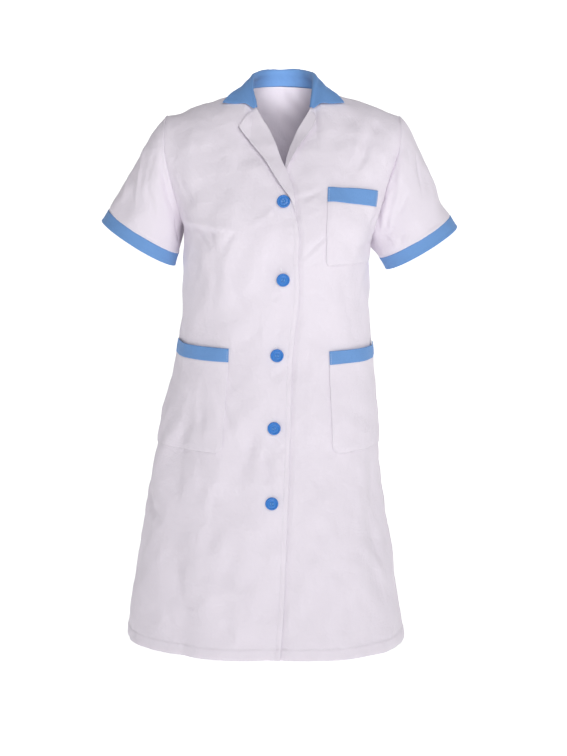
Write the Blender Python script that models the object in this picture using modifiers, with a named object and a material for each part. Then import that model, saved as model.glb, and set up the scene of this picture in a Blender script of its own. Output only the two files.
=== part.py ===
"""A short-sleeved work coat with a turned-down collar, lapels, five buttons and three patch pockets.

It is modelled as worn with no wearer: hollow, with the neck, cuffs and hem open. Blender 4.5, metres,
+Z up. The front faces -Y. The wearer's right is at -X. The origin is the middle of the neck, level with the
top of the shoulder seams. Sizes in the tables are millimetres.

The body is a form lofted through rows. Each row runs from the centre front (or back) round to the side, so a
place on the form is (share, up): share is the part of the row's length from the centre, -1 to 1, and up is
the distance along the cloth above the hem. Every cloth piece is an open surface with a Solidify wall inside.
"""

import bmesh
import bpy
import numpy as np
from mathutils import Vector

MM = 0.001

# ---------------------------------------------------------------- driving sizes, in millimetres
WALL = 1.2
COLLAR_WALL = 1.6
SEAM_GAP = 0.6
LAYER_GAP = 1.5
LAPEL_GAP = 0.8
UNDER_GAP = 1.5
LAP_END = 45.0
LAP_RAMP = 35.0
BUTTON_GAP = 0.9
CUFF_FRONT_DROP = 3.0
CUFF_DEPTH = 124.0
POCKET_BAND = 23.0
BUTTON_DIAMETER = 22.5
BUTTON_THICKNESS = 3.4
BUTTON_RIM = 2.0
BUTTON_DISH = 0.8
BUTTON_ROUND = 0.7
BUTTON_HOLE = 2.2
BUTTON_HOLE_SPREAD = 2.6
BUTTON_HEIGHTS = (-181, -311, -441, -565, -694)

NECK_HALF_WIDTH = 62.0
NECK_FRONT = (0.0, -64.0, -74.0)
NECK_BACK = (0.0, 70.0, 3.0)
NECK_DIP = 2.2
SHOULDER_TIP = (200.0, 4.0, -45.0)
SHOULDER_SAG = 4.0
LAPEL_JUNCTION = 45.5

# Rows of the form. x_c is the centre front, where the buttons are. x_r, z_r and x_l, z_l are the two sides,
# and y_sf and y_sb their depths on the front and the back, which above the armpit are the armhole. y_f, z_f
# and y_b, z_b are the middle of the front and of the back. full_r and full_l are the superellipse's powers at
# the two sides, turn is the angle that the row turns through and rise lifts it half way out. edge_r is the
# right front's edge and, above the break, its roll line. edge_l is the left front's.
ROW_COLUMNS = "x_c x_r z_r x_l z_l y_sf y_sb y_f z_f y_b z_b full_r full_l turn rise edge_r edge_l".split()
BODY_ROWS = [
    # hem
    (-33, -282, -974, 214, -974, 6, 6, -158, -974, 165, -974, 2.1, 3.0, 90, 0, -6, -60),
    (-27, -270, -870, 199, -870, 5, 5, -156, -870, 158, -870, 2.15, 2.75, 90, 0, 1, -54),
    (-21, -246, -740, 182, -740, 4, 4, -152, -740, 148, -740, 2.2, 2.4, 90, 0, 6, -48),
    # hip
    (-18, -221, -605, 167, -605, 2, 2, -147, -605, 135, -605, 2.25, 2.3, 90, 0, 11, -45),
    (-14, -201, -520, 162, -520, 0, 0, -141, -520, 122, -520, 2.3, 2.3, 90, 0, 13, -41),
    # waist
    (-11, -183, -440, 155, -440, 0, 0, -134, -440, 106, -440, 2.35, 2.35, 90, 0, 16, -38),
    (-4, -176, -365, 151, -365, 0, 0, -135, -365, 104, -365, 2.4, 2.4, 90, 0, 24, -31),
    (0, -174, -300, 150, -300, 0, 0, -139, -300, 110, -300, 2.4, 2.4, 90, 0, 26, -27),
    # armpit
    (0, -172, -232, 153, -262, 0, 0, -138, -246, 113, -240, 2.4, 2.4, 90, 0, 19, -25),
    (0, -174, -221, 156, -250, -23, 25, -136, -232, 113, -224, 2.4, 2.4, 88, 0, 17, -23),
    (0, -180, -192, 166, -214, -43, 47, -128, -198, 112, -190, 2.4, 2.4, 82, 0, 11, -17),
    (0, -191, -148, 184, -160, -53, 60, -111, -155, 106, -138, 2.4, 2.4, 75, 2, 6, -4),
    (0, -201, -100, 200, -105, -51, 60, -88, -112, 93, -76, 2.4, 2.4, 68, 8, -9, 9),
]
ARMPIT_ROW = 8
NECK_SHARE = 0.4
BUST = dict(across=88.0, height=-232.0, out=9.0, spread=62.0)

# Large folds: soft troughs (depth below 0) and ridges from (x, z) at the top to (x, z) at the bottom.
FOLD_FADE = 0.25
HEM_REACH = 20.0
FOLD_COLUMNS = "face x_top z_top x_low z_low width depth".split()
FOLDS = [
    (-1, -110, -275, -122, -405, 14, -2.2),
    (-1, 104, -275, 108, -405, 14, -2.2),
    (-1, -172, -500, -180, -974, 24, -5.0),
    (-1, -120, -600, -118, -974, 22, 3.0),
    (-1, -154, -690, -88, -860, 20, -4.5),
    (-1, -52, -620, -10, -820, 19, 4.0),
    (-1, 155, -560, 164, -974, 23, -5.0),
    (-1, 70, -640, 84, -974, 26, 4.0),
    (1, -85, -300, -90, -540, 14, -2.2),
    (1, 75, -300, 80, -540, 14, -2.2),
    (1, -160, -560, -190, -974, 25, -6.0),
    (1, -75, -600, -95, -974, 27, 5.0),
    (1, 10, -620, 0, -974, 26, -5.0),
    (1, 105, -560, 125, -974, 27, 5.0),
]

# The way the sleeve leaves the armhole, as (out, up): at the armpit, and at the shoulder. SLEEVE_BULGE is how
# far it leaves forwards or backwards half way up, and SLEEVE_SLACK how much straighter it is at the shoulder.
SLEEVE_LOW = (0.30, -0.95)
SLEEVE_HIGH = (0.85, -0.50)
SLEEVE_BULGE = 0.45
SLEEVE_SLACK = 0.55

# The cuff bands: the outer and inner corners of the upper and lower edge, as seen from the front.
CUFF_COLUMNS = "side out_x out_z in_x in_z low_out_x low_out_z low_in_x low_in_z".split()
CUFFS = [
    (-1, -303, -207, -183, -281, -315, -225, -190, -302),
    (1, 289, -217, 168, -289, 301, -236, 179, -308),
]

# The collar, from the middle of the back to its front end: where it is sewn on (share and face of the top
# row), the roll line, and its outer edge (share, distance below the shoulder seam, face).
COLLAR_COLUMNS = "seam face roll_x roll_y roll_z edge drop edge_face".split()
COLLAR_STATIONS = [
    (0.00, 1, 0, 68, 34.5, 0.00, 20, 1),
    (0.19, 1, 29, 60, 34, 0.20, 19, 1),
    (0.33, 1, 47, 36, 31, 0.45, 16, 1),
    (0.40, -1, 54, 7, 24, 0.555, 2, -1),
    (0.33, -1, 52.5, -19, 3, 0.585, 14, -1),
    (0.24, -1, 47, -41, -24, 0.56, 27, -1),
]
COLLAR_FOLD = 3.0
COLLAR_BOW = 1.5
COLLAR_SPREAD = 4.5
COLLAR_CLEAR = 4.8
COLLAR_LIFT = 3.6
COLLAR_RISE = {-1: 5 * SEAM_GAP, 1: 2 * SEAM_GAP}

# The lapels as (x, z): the break point, where the roll line starts, and the lapel's point. stand is how many
# degrees the lapel stands up off the front.
LAPEL_WIDTH = 3.1
LAPEL_INSET = 0.5
LAPEL_DROP = 4.0
LAPELS = {
    "lapel_right": dict(side=-1, start=(-2, -158), point=(-74, -62), stand=0.0),
    "lapel_left": dict(side=1, start=(9, -118), point=(53, -49), stand=30.0),
}

# The pockets: the inner edge as (x, z) at the top and the bottom, the outer edge as shares there, how far the
# outer end of the upper edge is dropped, and the radius of the low corners, inner and outer.
SIDE_SHARE = 0.975
POCKETS = {
    "chest_pocket": dict(
        top=(75, -158), low=(71, -288), outer=(0.815, 0.80), slant=4, corners=(9, 9)),
    "hip_pocket_right": dict(
        top=(-93, -431), low=(-105, -611), outer=(-SIDE_SHARE, -SIDE_SHARE), slant=0, corners=(16, 0)),
    "hip_pocket_left": dict(
        top=(78, -436), low=(84, -613), outer=(SIDE_SHARE, SIDE_SHARE), slant=0, corners=(16, 0)),
}
BAND_NAMES = {
    "chest_pocket": "chest_pocket_band",
    "hip_pocket_right": "hip_pocket_band_right",
    "hip_pocket_left": "hip_pocket_band_left",
}

# ---------------------------------------------------------------- numbers of grid steps
LOWER_ROWS = 17
UPPER_ROWS = 11
INNER_COLUMNS = 5
OUTER_COLUMNS = 8
SLEEVE_ROWS = 8
CUFF_ROWS = 2
COLLAR_LENGTHS = 22
POCKET_COLUMNS = 9
POCKET_ROWS = 11
BAND_ROWS = 2
CORNER_STEPS = (0.5, 0.15, 0)
LAPEL_GRID = (9, 4)
BUTTON_SEGMENTS = 16
DENSE = 400
SECTION_STEPS = ((0, 0.28, 3), (0.34, 0.47, 5), (0.55, 1, 5))
SECTION_SHARES = np.concatenate([np.linspace(*steps) for steps in SECTION_STEPS])
CLOSER = 1.3
SLEEVE_CLOSER = 1.4

# ---------------------------------------------------------------- finishes: colour and roughness
WHITE_CLOTH = ("white_cloth", (0.80, 0.77, 0.82), 0.85)
BLUE_CLOTH = ("blue_cloth", (0.13, 0.34, 0.69), 0.85)
BLUE_BUTTON = ("blue_button", (0.03, 0.24, 0.74), 0.35)


def table(rows, columns):
    """The rows as a dict of columns."""
    values = np.array(rows, float)
    return {name: values[:, i] for i, name in enumerate(columns)}


ROWS = table(BODY_ROWS, ROW_COLUMNS)


# ---------------------------------------------------------------- curves
def spline_weights(knots, at):
    """Weights of a cubic spline: natural at the first knot, with a given slope at the last.

    Returns (weights, last): a value at `at` is weights @ values + last * slope.
    """
    n = len(knots)
    step = np.diff(knots)
    left = np.zeros((n, n))
    right = np.zeros((n, n))
    left[0, :2] = 2, 1
    right[0, :2] = -3 / step[0], 3 / step[0]
    for i in range(1, n - 1):
        before, after = 1 / step[i - 1], 1 / step[i]
        left[i, i - 1 : i + 2] = before, 2 * (before + after), after
        right[i, i - 1 : i + 2] = -3 * before**2, 3 * (before**2 - after**2), 3 * after**2
    left[-1, -1] = 1
    solved = np.linalg.inv(left)
    slopes = solved @ right
    at = np.asarray(at, float)
    k = np.clip(np.searchsorted(knots, at, side="right") - 1, 0, n - 2)
    h = step[k]
    t = (at - knots[k]) / h
    h10, h11 = (t**3 - 2 * t**2 + t) * h, (t**3 - t**2) * h
    weights = h10[:, None] * slopes[k] + h11[:, None] * slopes[k + 1]
    here = np.arange(len(at))
    weights[here, k] += 2 * t**3 - 3 * t**2 + 1
    weights[here, k + 1] += 3 * t**2 - 2 * t**3
    return weights, h10 * solved[k, -1] + h11 * solved[k + 1, -1]


def smooth(knots, values, at):
    """A cubic spline through values, leaving the last one straight on."""
    values = np.asarray(values, float)
    weights, last = spline_weights(np.asarray(knots, float), at)
    slope = (values[-1] - values[-2]) / (knots[-1] - knots[-2])
    return np.tensordot(weights, values, 1) + np.multiply.outer(last, slope)


def ease(t):
    """A smooth step from 0 to 1 as t goes from 0 to 1."""
    t = np.clip(t, 0, 1)
    return 3 * t**2 - 2 * t**3


def distances(points):
    """Distance along a polyline at each of its points."""
    return np.concatenate([[0], np.cumsum(np.linalg.norm(np.diff(points, axis=0), axis=1))])


def along(points, share):
    """Points at shares 0 to 1 of a polyline's length."""
    length = distances(points)
    return np.stack([np.interp(share * length[-1], length, points[:, i]) for i in range(3)], -1)


# ---------------------------------------------------------------- the body's form
def half_row(i, side, face):
    """A dense line along row i from the middle to one side: part of a superellipse's quarter."""
    x_side, z_side = (ROWS["x_r"][i], ROWS["z_r"][i]) if side < 0 else (ROWS["x_l"][i], ROWS["z_l"][i])
    names = ("y_f", "z_f", "y_sf") if face < 0 else ("y_b", "z_b", "y_sb")
    y_mid, z_mid, y_side = (ROWS[name][i] for name in names)
    angle = np.linspace(0, 1, DENSE) * np.radians(ROWS["turn"][i])
    power = 2 / ROWS["full_r" if side < 0 else "full_l"][i]
    out = np.sin(angle) ** power
    back = 1 - np.cos(angle) ** power
    out, back = out / out[-1], back / back[-1]
    x = ROWS["x_c"][i] + (x_side - ROWS["x_c"][i]) * out
    y = y_mid + (y_side - y_mid) * back
    z = z_mid + (z_side - z_mid) * out**2 + 4 * ROWS["rise"][i] * out**2 * (1 - out**2)
    return np.stack([x, y, z], -1) * MM


def top_row(side, face):
    """The last row in two lines: a quarter of the neckline, then the shoulder seam."""
    middle = np.array(NECK_FRONT if face < 0 else NECK_BACK)
    angle = np.linspace(0, np.pi / 2, DENSE)
    neck_x = side * NECK_HALF_WIDTH * np.sin(angle)
    neck = np.stack([neck_x, middle[1] * np.cos(angle), middle[2] * np.cos(angle) ** NECK_DIP], -1)
    share = np.linspace(0, 1, DENSE)[:, None]
    neck_point = np.array([side * NECK_HALF_WIDTH, 0, 0])
    tip = np.array(SHOULDER_TIP) * (side, 1, 1)
    sag = np.array([0, 0, -SHOULDER_SAG]) * 4 * share * (1 - share)
    return neck * MM, (neck_point + (tip - neck_point) * share + sag) * MM


def row_points(i, share, face):
    """Points of row i at signed shares."""
    made = np.zeros(share.shape + (3,))
    for side in (-1, 1):
        here = share < 0 if side < 0 else share >= 0
        size = np.abs(share[here])
        if i < len(BODY_ROWS):
            made[here] = along(half_row(i, side, face), size)
            continue
        neck, shoulder = top_row(side, face)
        on_neck = along(neck, np.clip(size / NECK_SHARE, 0, 1))
        on_shoulder = along(shoulder, np.clip((size - NECK_SHARE) / (1 - NECK_SHARE), 0, 1))
        made[here] = np.where((size < NECK_SHARE)[:, None], on_neck, on_shoulder)
    return made


def row_knots():
    """Distance of each row above the hem, along the cloth, as a mean of four lines up the front."""
    places = np.array([-1, -0.6, 0.6, 1])
    lines = np.stack([row_points(i, places, -1) for i in range(len(BODY_ROWS) + 1)])
    step = np.linalg.norm(np.diff(lines, axis=0), axis=2).mean(axis=1)
    return np.concatenate([[0], np.cumsum(step)])


KNOTS = row_knots()
TOP = KNOTS[-1]
ARMPIT = KNOTS[ARMPIT_ROW]


def form(share, up, face):
    """Points of the form. share and up are arrays of one shape. face is -1 for the front, 1 for the back."""
    share, up = np.broadcast_arrays(np.asarray(share, float), np.asarray(up, float))
    flat, heights = share.ravel(), up.ravel()
    values = np.stack([row_points(i, flat, face) for i in range(len(KNOTS))])
    weights, last = spline_weights(KNOTS, heights)
    size = np.abs(flat)
    over = np.clip((size - 0.7 * NECK_SHARE) / (0.3 * NECK_SHARE), 0, 1)[:, None]
    steep = np.clip(size / 0.24, 0.4, 1)[:, None] if face < 0 else 1.0
    slope = over * np.array([0, -face, 0]) + (1 - over) * steep * np.array([0, -0.35 * face, 0.8])
    points = np.einsum("pk,kpc->pc", weights, values) + last[:, None] * slope
    points[:, 1] += side_straightener(heights, weights, face) * size**6
    if face < 0:
        points[:, 1] -= bust(points)
    return points.reshape(share.shape + (3,))


def side_straightener(heights, weights, face):
    """What brings the spline back to the side seam's own depth: front and back meet below the armpit."""
    depth = np.append(ROWS["y_sf" if face < 0 else "y_sb"], SHOULDER_TIP[1]) * MM
    return np.where(heights < ARMPIT, np.interp(heights, KNOTS, depth) - weights @ depth, 0)


def bust(points):
    """How far the front stands out above the ends of the two waist darts."""
    across = np.abs(points[..., 0]) - BUST["across"] * MM
    height = points[..., 2] - BUST["height"] * MM
    return BUST["out"] * MM * np.exp(-(across**2 + height**2) / (BUST["spread"] * MM) ** 2)


def normals(share, up, face, step=0.004):
    """Unit normals of the form, facing out."""
    lower, upper = np.clip(up - step, 0, TOP), np.clip(up + step, 0, TOP)
    across = form(np.clip(share + step, -1, 1), up, face) - form(np.clip(share - step, -1, 1), up, face)
    upward = form(share, upper, face) - form(share, lower, face)
    normal = -face * np.cross(across, upward)
    return normal / np.linalg.norm(normal, axis=-1, keepdims=True)


def place_grid(face):
    """A dense grid of the form, to look places up in."""
    share, up = np.meshgrid(np.linspace(-1, 1, 501), np.linspace(0, TOP, 501))
    return share, up, form(share, up, face)


PLACES = {face: place_grid(face) for face in (-1, 1)}


def place(x, z, face=-1):
    """The (share, up) of the form's point that shows at (x, z) millimetres from the front."""
    share, up, points = PLACES[face]
    off = (points[..., 0] - x * MM) ** 2 + (points[..., 2] - z * MM) ** 2
    row, column = (int(np.clip(i, 1, 499)) for i in np.unravel_index(np.argmin(off), off.shape))
    across = (points[row, column + 1] - points[row, column - 1]) / 2
    upward = (points[row + 1, column] - points[row - 1, column]) / 2
    missing = np.array([x, 0, z]) * MM - points[row, column]
    steps = np.linalg.solve(np.stack([across, upward], 1)[[0, 2]], missing[[0, 2]])
    steps = np.clip(steps, -1, 1)
    return (share[row, column] + steps[0] * (share[0, 1] - share[0, 0]),
            up[row, column] + steps[1] * (up[1, 0] - up[0, 0]))


def fold_lines():
    """The folds with their ends as (share, up)."""
    lines = []
    for row in FOLDS:
        fold = dict(zip(FOLD_COLUMNS, row))
        top = place(fold["x_top"], fold["z_top"], fold["face"])
        low = place(fold["x_low"], fold["z_low"], fold["face"])
        lines.append((fold["face"], top, low, fold["width"] * MM, fold["depth"] * MM))
    return lines


FOLD_LINES = fold_lines()
ROW_SPAN = 0.26


def folds(share, up, face):
    """How far the large folds stand out: a bell across each, fading out at its ends but not at the hem."""
    total = np.zeros(np.broadcast(share, up).shape)
    for fold_face, top, low, width, depth in FOLD_LINES:
        if fold_face != face:
            continue
        part = (up - low[1]) / (top[1] - low[1])
        middle = low[0] + (top[0] - low[0]) * part
        runs_out = low[1] < HEM_REACH * MM
        fade = ease((1 - part) / FOLD_FADE) * ease(part / FOLD_FADE + runs_out)
        total += depth * fade * np.exp(-(((share - middle) * ROW_SPAN / width) ** 2))
    return total


def surface(share, up, face, lift=0.0):
    """Points of the body's outer face, moved out by lift metres."""
    out = folds(share, up, face) + lift
    return form(share, up, face) + normals(share, up, face) * out[..., None]


def front_edge(up, side):
    """The share at which a front ends: its edge, and above the break its roll line."""
    column = ROWS["edge_r" if side < 0 else "edge_l"]
    shares = np.linspace(-1, 1, 2 * DENSE)
    places = [*column, side * LAPEL_JUNCTION]
    ends = [np.interp(x * MM, row_points(i, shares, -1)[:, 0], shares) for i, x in enumerate(places)]
    return smooth(KNOTS, ends, up)


# ---------------------------------------------------------------- meshes
def finish_of(name, colour, roughness):
    """A plain material, made once."""
    material = bpy.data.materials.get(name)
    if material is None:
        material = bpy.data.materials.new(name)
        material.use_nodes = True
        shader = material.node_tree.nodes["Principled BSDF"]
        shader.inputs["Base Color"].default_value = (*colour, 1)
        shader.inputs["Roughness"].default_value = roughness
    return material


def new_object(name, mesh, finish):
    """An object in the garment's collection, with its finish."""
    thing = bpy.data.objects.new(name, mesh)
    bpy.data.collections["work_coat"].objects.link(thing)
    mesh.materials.append(finish_of(*finish))
    return thing


def cloth(name, grid, finish, wall=WALL, ring=False):
    """A sheet through a grid of points with its wall behind it.

    The rows go up, and the columns to the left seen from outside. ring joins the last column to the first.
    """
    rows, columns = grid.shape[:2]
    number = np.arange(rows * columns).reshape(rows, columns)
    if ring:
        number = np.concatenate([number, number[:, :1]], axis=1)
    low_near, low_far = number[:-1, :-1].ravel(), number[:-1, 1:].ravel()
    up_near, up_far = number[1:, :-1].ravel(), number[1:, 1:].ravel()
    below = np.stack([low_near, up_far, low_far], -1)
    above = np.stack([low_near, up_near, up_far], -1)
    faces = np.concatenate([below, above])
    mesh = bpy.data.meshes.new(name)
    mesh.from_pydata(grid.reshape(-1, 3).tolist(), [], faces.tolist())
    mesh.shade_smooth()
    thing = new_object(name, mesh, finish)
    thickness = thing.modifiers.new("wall", "SOLIDIFY")
    thickness.thickness = wall * MM
    thickness.offset = -1
    return thing


def heights():
    """The grid's rows up the body, closer at the armpit and at the shoulder seam, where they stop short."""
    lower = ARMPIT * (1 - (1 - np.linspace(0, 1, LOWER_ROWS + 1)) ** CLOSER)
    t = np.linspace(0, 1, UPPER_ROWS + 1)[1:]
    eased = (1 - np.cos(np.pi * t)) / 2
    upper = ARMPIT + (TOP - SEAM_GAP / 2 * MM - ARMPIT) * (0.2 * t + 0.8 * eased)
    return np.concatenate([lower, upper])


def columns_between(start, bend, end):
    """Shares from start to end with one at bend, closer at the end. Each is an array over the rows."""
    inner = np.linspace(0, 1, INNER_COLUMNS + 1)[:-1]
    outer = 1 - (1 - np.linspace(0, 1, OUTER_COLUMNS + 1)) ** CLOSER
    near = np.outer(1 - inner, start) + np.outer(inner, bend)
    far = np.outer(1 - outer, bend) + np.outer(outer, end)
    return np.concatenate([near, far]).T


SIDE = 1 - SEAM_GAP / 2 * MM / ROW_SPAN


def under_lap(share, up):
    """How far the left front is pushed in to lie under the right one."""
    past = (share - front_edge(up[:, 0], -1)[:, None]) * ROW_SPAN
    return -(WALL + UNDER_GAP) * MM * ease((LAP_END * MM - past) / (LAP_RAMP * MM))


def front_panel(side):
    """The grid of one front, from its edge or roll line to the side: share, up, points and normals."""
    up = heights()
    bend = np.full_like(up, side * NECK_SHARE)
    share = columns_between(front_edge(up, side), bend, np.full_like(up, side * SIDE))
    up = np.broadcast_to(up[:, None], share.shape)
    lift = under_lap(share, up) if side > 0 else np.zeros(share.shape)
    return share, up, surface(share, up, -1, lift), normals(share, up, -1)


def make_front(name, side):
    """One front, to the side seam, armhole and shoulder seam."""
    grid = PANELS[side][2]
    cloth(name, grid if side < 0 else grid[:, ::-1], WHITE_CLOTH)


def on_panel(side, share, up, lift):
    """Points on a front's own facets, moved out by lift metres, so that what lies on it stays clear of it."""
    panel_share, panel_up, points, normal = PANELS[side]
    row = np.clip(np.searchsorted(panel_up[:, 0], up, side="right") - 1, 0, len(panel_up) - 2)
    v = (up - panel_up[row, 0]) / (panel_up[row + 1, 0] - panel_up[row, 0])
    columns = panel_share[row] * (1 - v[..., None]) + panel_share[row + 1] * v[..., None]
    beyond = (columns * side < share[..., None] * side).sum(axis=-1)
    column = np.clip(beyond - 1, 0, columns.shape[-1] - 2)
    near = np.take_along_axis(columns, column[..., None], -1)
    far = np.take_along_axis(columns, column[..., None] + 1, -1)
    u = (share[..., None] - near) / (far - near)
    v = v[..., None]
    made = 0
    for grid in (points, normal * lift):
        low_near, low_far = grid[row, column], grid[row, column + 1]
        up_near, up_far = grid[row + 1, column], grid[row + 1, column + 1]
        low, high = low_far - low_near, up_far - up_near
        near_side, far_side = up_near - low_near, up_far - low_far
        if side < 0:
            first = low_near + low * u + far_side * v
            second = low_near + high * u + near_side * v
            made = made + np.where(u > v, first, second)
        else:
            first = low_near + low * u + near_side * v
            second = up_far - high * (1 - u) - far_side * (1 - v)
            made = made + np.where(u + v < 1, first, second)
    return made


PANELS = {side: front_panel(side) for side in (-1, 1)}


def make_back():
    """The back, in one piece."""
    up = heights()
    bend = np.full_like(up, NECK_SHARE)
    half = columns_between(np.zeros_like(up), bend, np.full_like(up, SIDE))
    share = np.concatenate([-half[:, :0:-1], half], axis=1)
    grid = surface(share, np.broadcast_to(up[:, None], share.shape), 1)
    cloth("back", grid, WHITE_CLOTH)


# ---------------------------------------------------------------- sleeves
def cuff_ring(cuff, prefix, turn):
    """Points round one edge of a cuff band: an ellipse, a little lower at the front. turn 0 is the inside."""
    outer = np.array([cuff[prefix + "out_x"], 0, cuff[prefix + "out_z"]])
    inner = np.array([cuff[prefix + "in_x"], 0, cuff[prefix + "in_z"]])
    middle = (outer + inner) / 2
    depth = np.array([0, -CUFF_DEPTH / 2, -CUFF_FRONT_DROP])
    return (middle + np.outer(np.cos(turn), inner - middle) + np.outer(np.sin(turn), depth)) * MM


def armhole(side):
    """The armhole, up the front and down the back, and the sleeve's direction and fullness at each point."""
    up = np.concatenate([heights()[LOWER_ROWS:-1], [TOP]])
    front = surface(np.full_like(up, side), up, -1)
    back = surface(np.full_like(up, side), up, 1)
    loop = np.concatenate([front, back[-2:0:-1]])
    high = (loop[:, 2] - loop[0, 2]) / (front[-1, 2] - loop[0, 2])
    face = np.concatenate([np.full(len(front), -1), np.full(len(back) - 2, 1)])
    bulge = np.sin(np.pi * np.clip(high, 0, 1))
    leave = np.outer(1 - high, SLEEVE_LOW) + np.outer(high, SLEEVE_HIGH)
    leave = np.stack([side * leave[:, 0], face * SLEEVE_BULGE * bulge, leave[:, 1]], -1)
    return loop, leave / np.linalg.norm(leave, axis=1, keepdims=True), (1 - SLEEVE_SLACK * high)[:, None]


def ring_turns(loop):
    """The cuff's turn for each point of the armhole, by distance round it: half a turn to the shoulder."""
    half = len(loop) // 2
    up_front = distances(loop[: half + 1])
    down_back = distances(np.concatenate([loop[half:], loop[:1]]))
    return np.concatenate([np.pi * up_front / up_front[-1], np.pi * (1 + down_back[1:-1] / down_back[-1])])


def make_sleeve(word, cuff):
    """A sleeve from the armhole to the band, and the band."""
    side = int(cuff["side"])
    loop, leave, full = armhole(side)
    turn = ring_turns(loop)
    upper, lower = cuff_ring(cuff, "", turn), cuff_ring(cuff, "low_", turn)
    arrive = lower - upper
    arrive /= np.linalg.norm(arrive, axis=1, keepdims=True)
    start, end = loop + leave * SEAM_GAP * MM, upper - arrive * SEAM_GAP / 2 * MM
    reach = np.linalg.norm(end - start, axis=1, keepdims=True)
    v = (np.linspace(0, 1, SLEEVE_ROWS + 1) ** SLEEVE_CLOSER)[:, None, None]
    grid = (2 * v**3 - 3 * v**2 + 1) * start + (v**3 - 2 * v**2 + v) * leave * reach * full
    grid = grid + (3 * v**2 - 2 * v**3) * end + (v**3 - v**2) * arrive * reach
    cloth(f"sleeve_{word}", outward_ring(grid, side), WHITE_CLOTH, ring=True)
    v = np.linspace(0, 1, CUFF_ROWS + 1)[:, None, None]
    start = upper + arrive * SEAM_GAP / 2 * MM
    cloth(f"cuff_{word}", outward_ring(start + (lower - start) * v, side), BLUE_CLOTH, ring=True)


def outward_ring(grid, side):
    """The grid turned so that its columns go left seen from outside, with the armhole at the top."""
    return grid[::-1, ::-1] if side > 0 else grid[::-1]


# ---------------------------------------------------------------- collar and lapels
def collar_stations():
    """The seam, roll line and outer edge at each station of the left half, as three arrays."""
    seam, roll, edge = [], [], []
    lift = np.array([COLLAR_LIFT * MM])
    for row in COLLAR_STATIONS:
        station = dict(zip(COLLAR_COLUMNS, row))
        sewn = form(np.array([station["seam"]]), np.array([TOP]), station["face"])[0]
        seam.append(sewn + (0, 0, COLLAR_RISE[station["face"]] * MM))
        roll.append(np.array([station[name] for name in ("roll_x", "roll_y", "roll_z")]) * MM)
        below = np.array([TOP - station["drop"] * MM])
        edge.append(surface(np.array([station["edge"]]), below, station["edge_face"], lift)[0])
    return np.array(seam), np.array(roll), np.array(edge)


def make_collar():
    """The collar: up the stand, over the roll line and down the fall, from one front end to the other."""
    knots = np.arange(1 - len(COLLAR_STATIONS), len(COLLAR_STATIONS))
    at = np.linspace(knots[0], knots[-1], COLLAR_LENGTHS + 1)
    lines = [np.concatenate([line[:0:-1] * (-1, 1, 1), line]) for line in collar_stations()]
    seam, roll, edge = (smooth(knots, line, at) for line in lines)
    outward = seam / (NECK_HALF_WIDTH, NECK_BACK[1], np.inf)
    outward /= np.linalg.norm(outward, axis=1, keepdims=True)
    stand = np.linalg.norm(roll - seam, axis=1, keepdims=True)
    radius = np.minimum(COLLAR_FOLD * MM, 0.42 * stand)
    below = np.array([0, 0, -1]) * radius
    control = seam + outward * COLLAR_SPREAD * MM + np.array([0, 0, COLLAR_CLEAR]) * MM
    fall = [(1 - t) ** 2 * roll + 2 * t * (1 - t) * control + t**2 * edge for t in (0.42, 0.7)]
    fall[0] = fall[0] + outward * radius
    hollow = (seam + roll) / 2 - outward * COLLAR_BOW * MM
    inner, outer = roll + below - outward * radius, roll + below + outward * radius
    section = np.stack([seam, hollow, inner, roll, outer, *fall, edge], 1)
    lengths = [distances(line) for line in section]
    lines = [smooth(length, line, SECTION_SHARES * length[-1]) for length, line in zip(lengths, section)]
    grid = np.stack(lines, 1)
    cloth("collar", grid[:, ::-1], BLUE_CLOTH, wall=COLLAR_WALL)


def make_lapel(name, side, start, point, stand):
    """A lapel: a wedge from the roll line to the lapel's edge, lying on its front or standing up off it."""
    rows, columns = LAPEL_GRID
    across, length = np.meshgrid(np.linspace(0, 1, columns + 1), np.linspace(0, 1, rows + 1))
    break_share, break_up = place(*start)
    point_share, point_up = place(*point)
    roll_up = break_up + (TOP - LAPEL_DROP * MM - break_up) * length
    roll_share = front_edge(roll_up[:, 0], side)[:, None] + side * LAPEL_INSET * MM / ROW_SPAN
    outer_share = break_share + (point_share - break_share) * length + side * LAPEL_WIDTH * MM / ROW_SPAN
    outer_up = break_up + (point_up - break_up) * length
    share = roll_share + (outer_share - roll_share) * across
    up = roll_up + (outer_up - roll_up) * across
    rise = np.sin(np.radians(stand)) * across * np.abs(outer_share - roll_share) * ROW_SPAN
    grid = surface(share, up, -1, (LAPEL_GAP + WALL) * MM + rise)
    cloth(name, grid if side < 0 else grid[:, ::-1], WHITE_CLOTH)


# ---------------------------------------------------------------- pockets
def pocket_patch(pocket, rows):
    """A patch on a front. rows are shares of the pocket's height, downwards; its low corners are rounded."""
    side = int(np.sign(pocket["top"][0]))
    top, low = np.array(pocket["top"], float), np.array(pocket["low"], float)
    inner = np.array([place(*(top + (low - top) * v)) for v in rows])
    outer_up = inner[:, 1] - pocket["slant"] * MM * (1 - rows)
    outer = np.stack([np.interp(rows, (0, 1), pocket["outer"]), outer_up], -1)
    left = (1 - rows) * (top[1] - low[1])
    for edge, radius, inward in zip((inner, outer), pocket["corners"], (side, -side)):
        over = np.clip(radius - left, 0, radius)
        edge[:, 0] += inward * (radius - np.sqrt(radius**2 - over**2)) * MM / ROW_SPAN
    across = np.linspace(0, 1, POCKET_COLUMNS + 1)[:, None]
    spot = inner[:, None] + (outer - inner)[:, None] * across
    grid = on_panel(side, spot[..., 0], spot[..., 1], (LAYER_GAP + WALL) * MM)
    return grid[::-1] if side < 0 else grid[::-1, ::-1]


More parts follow.
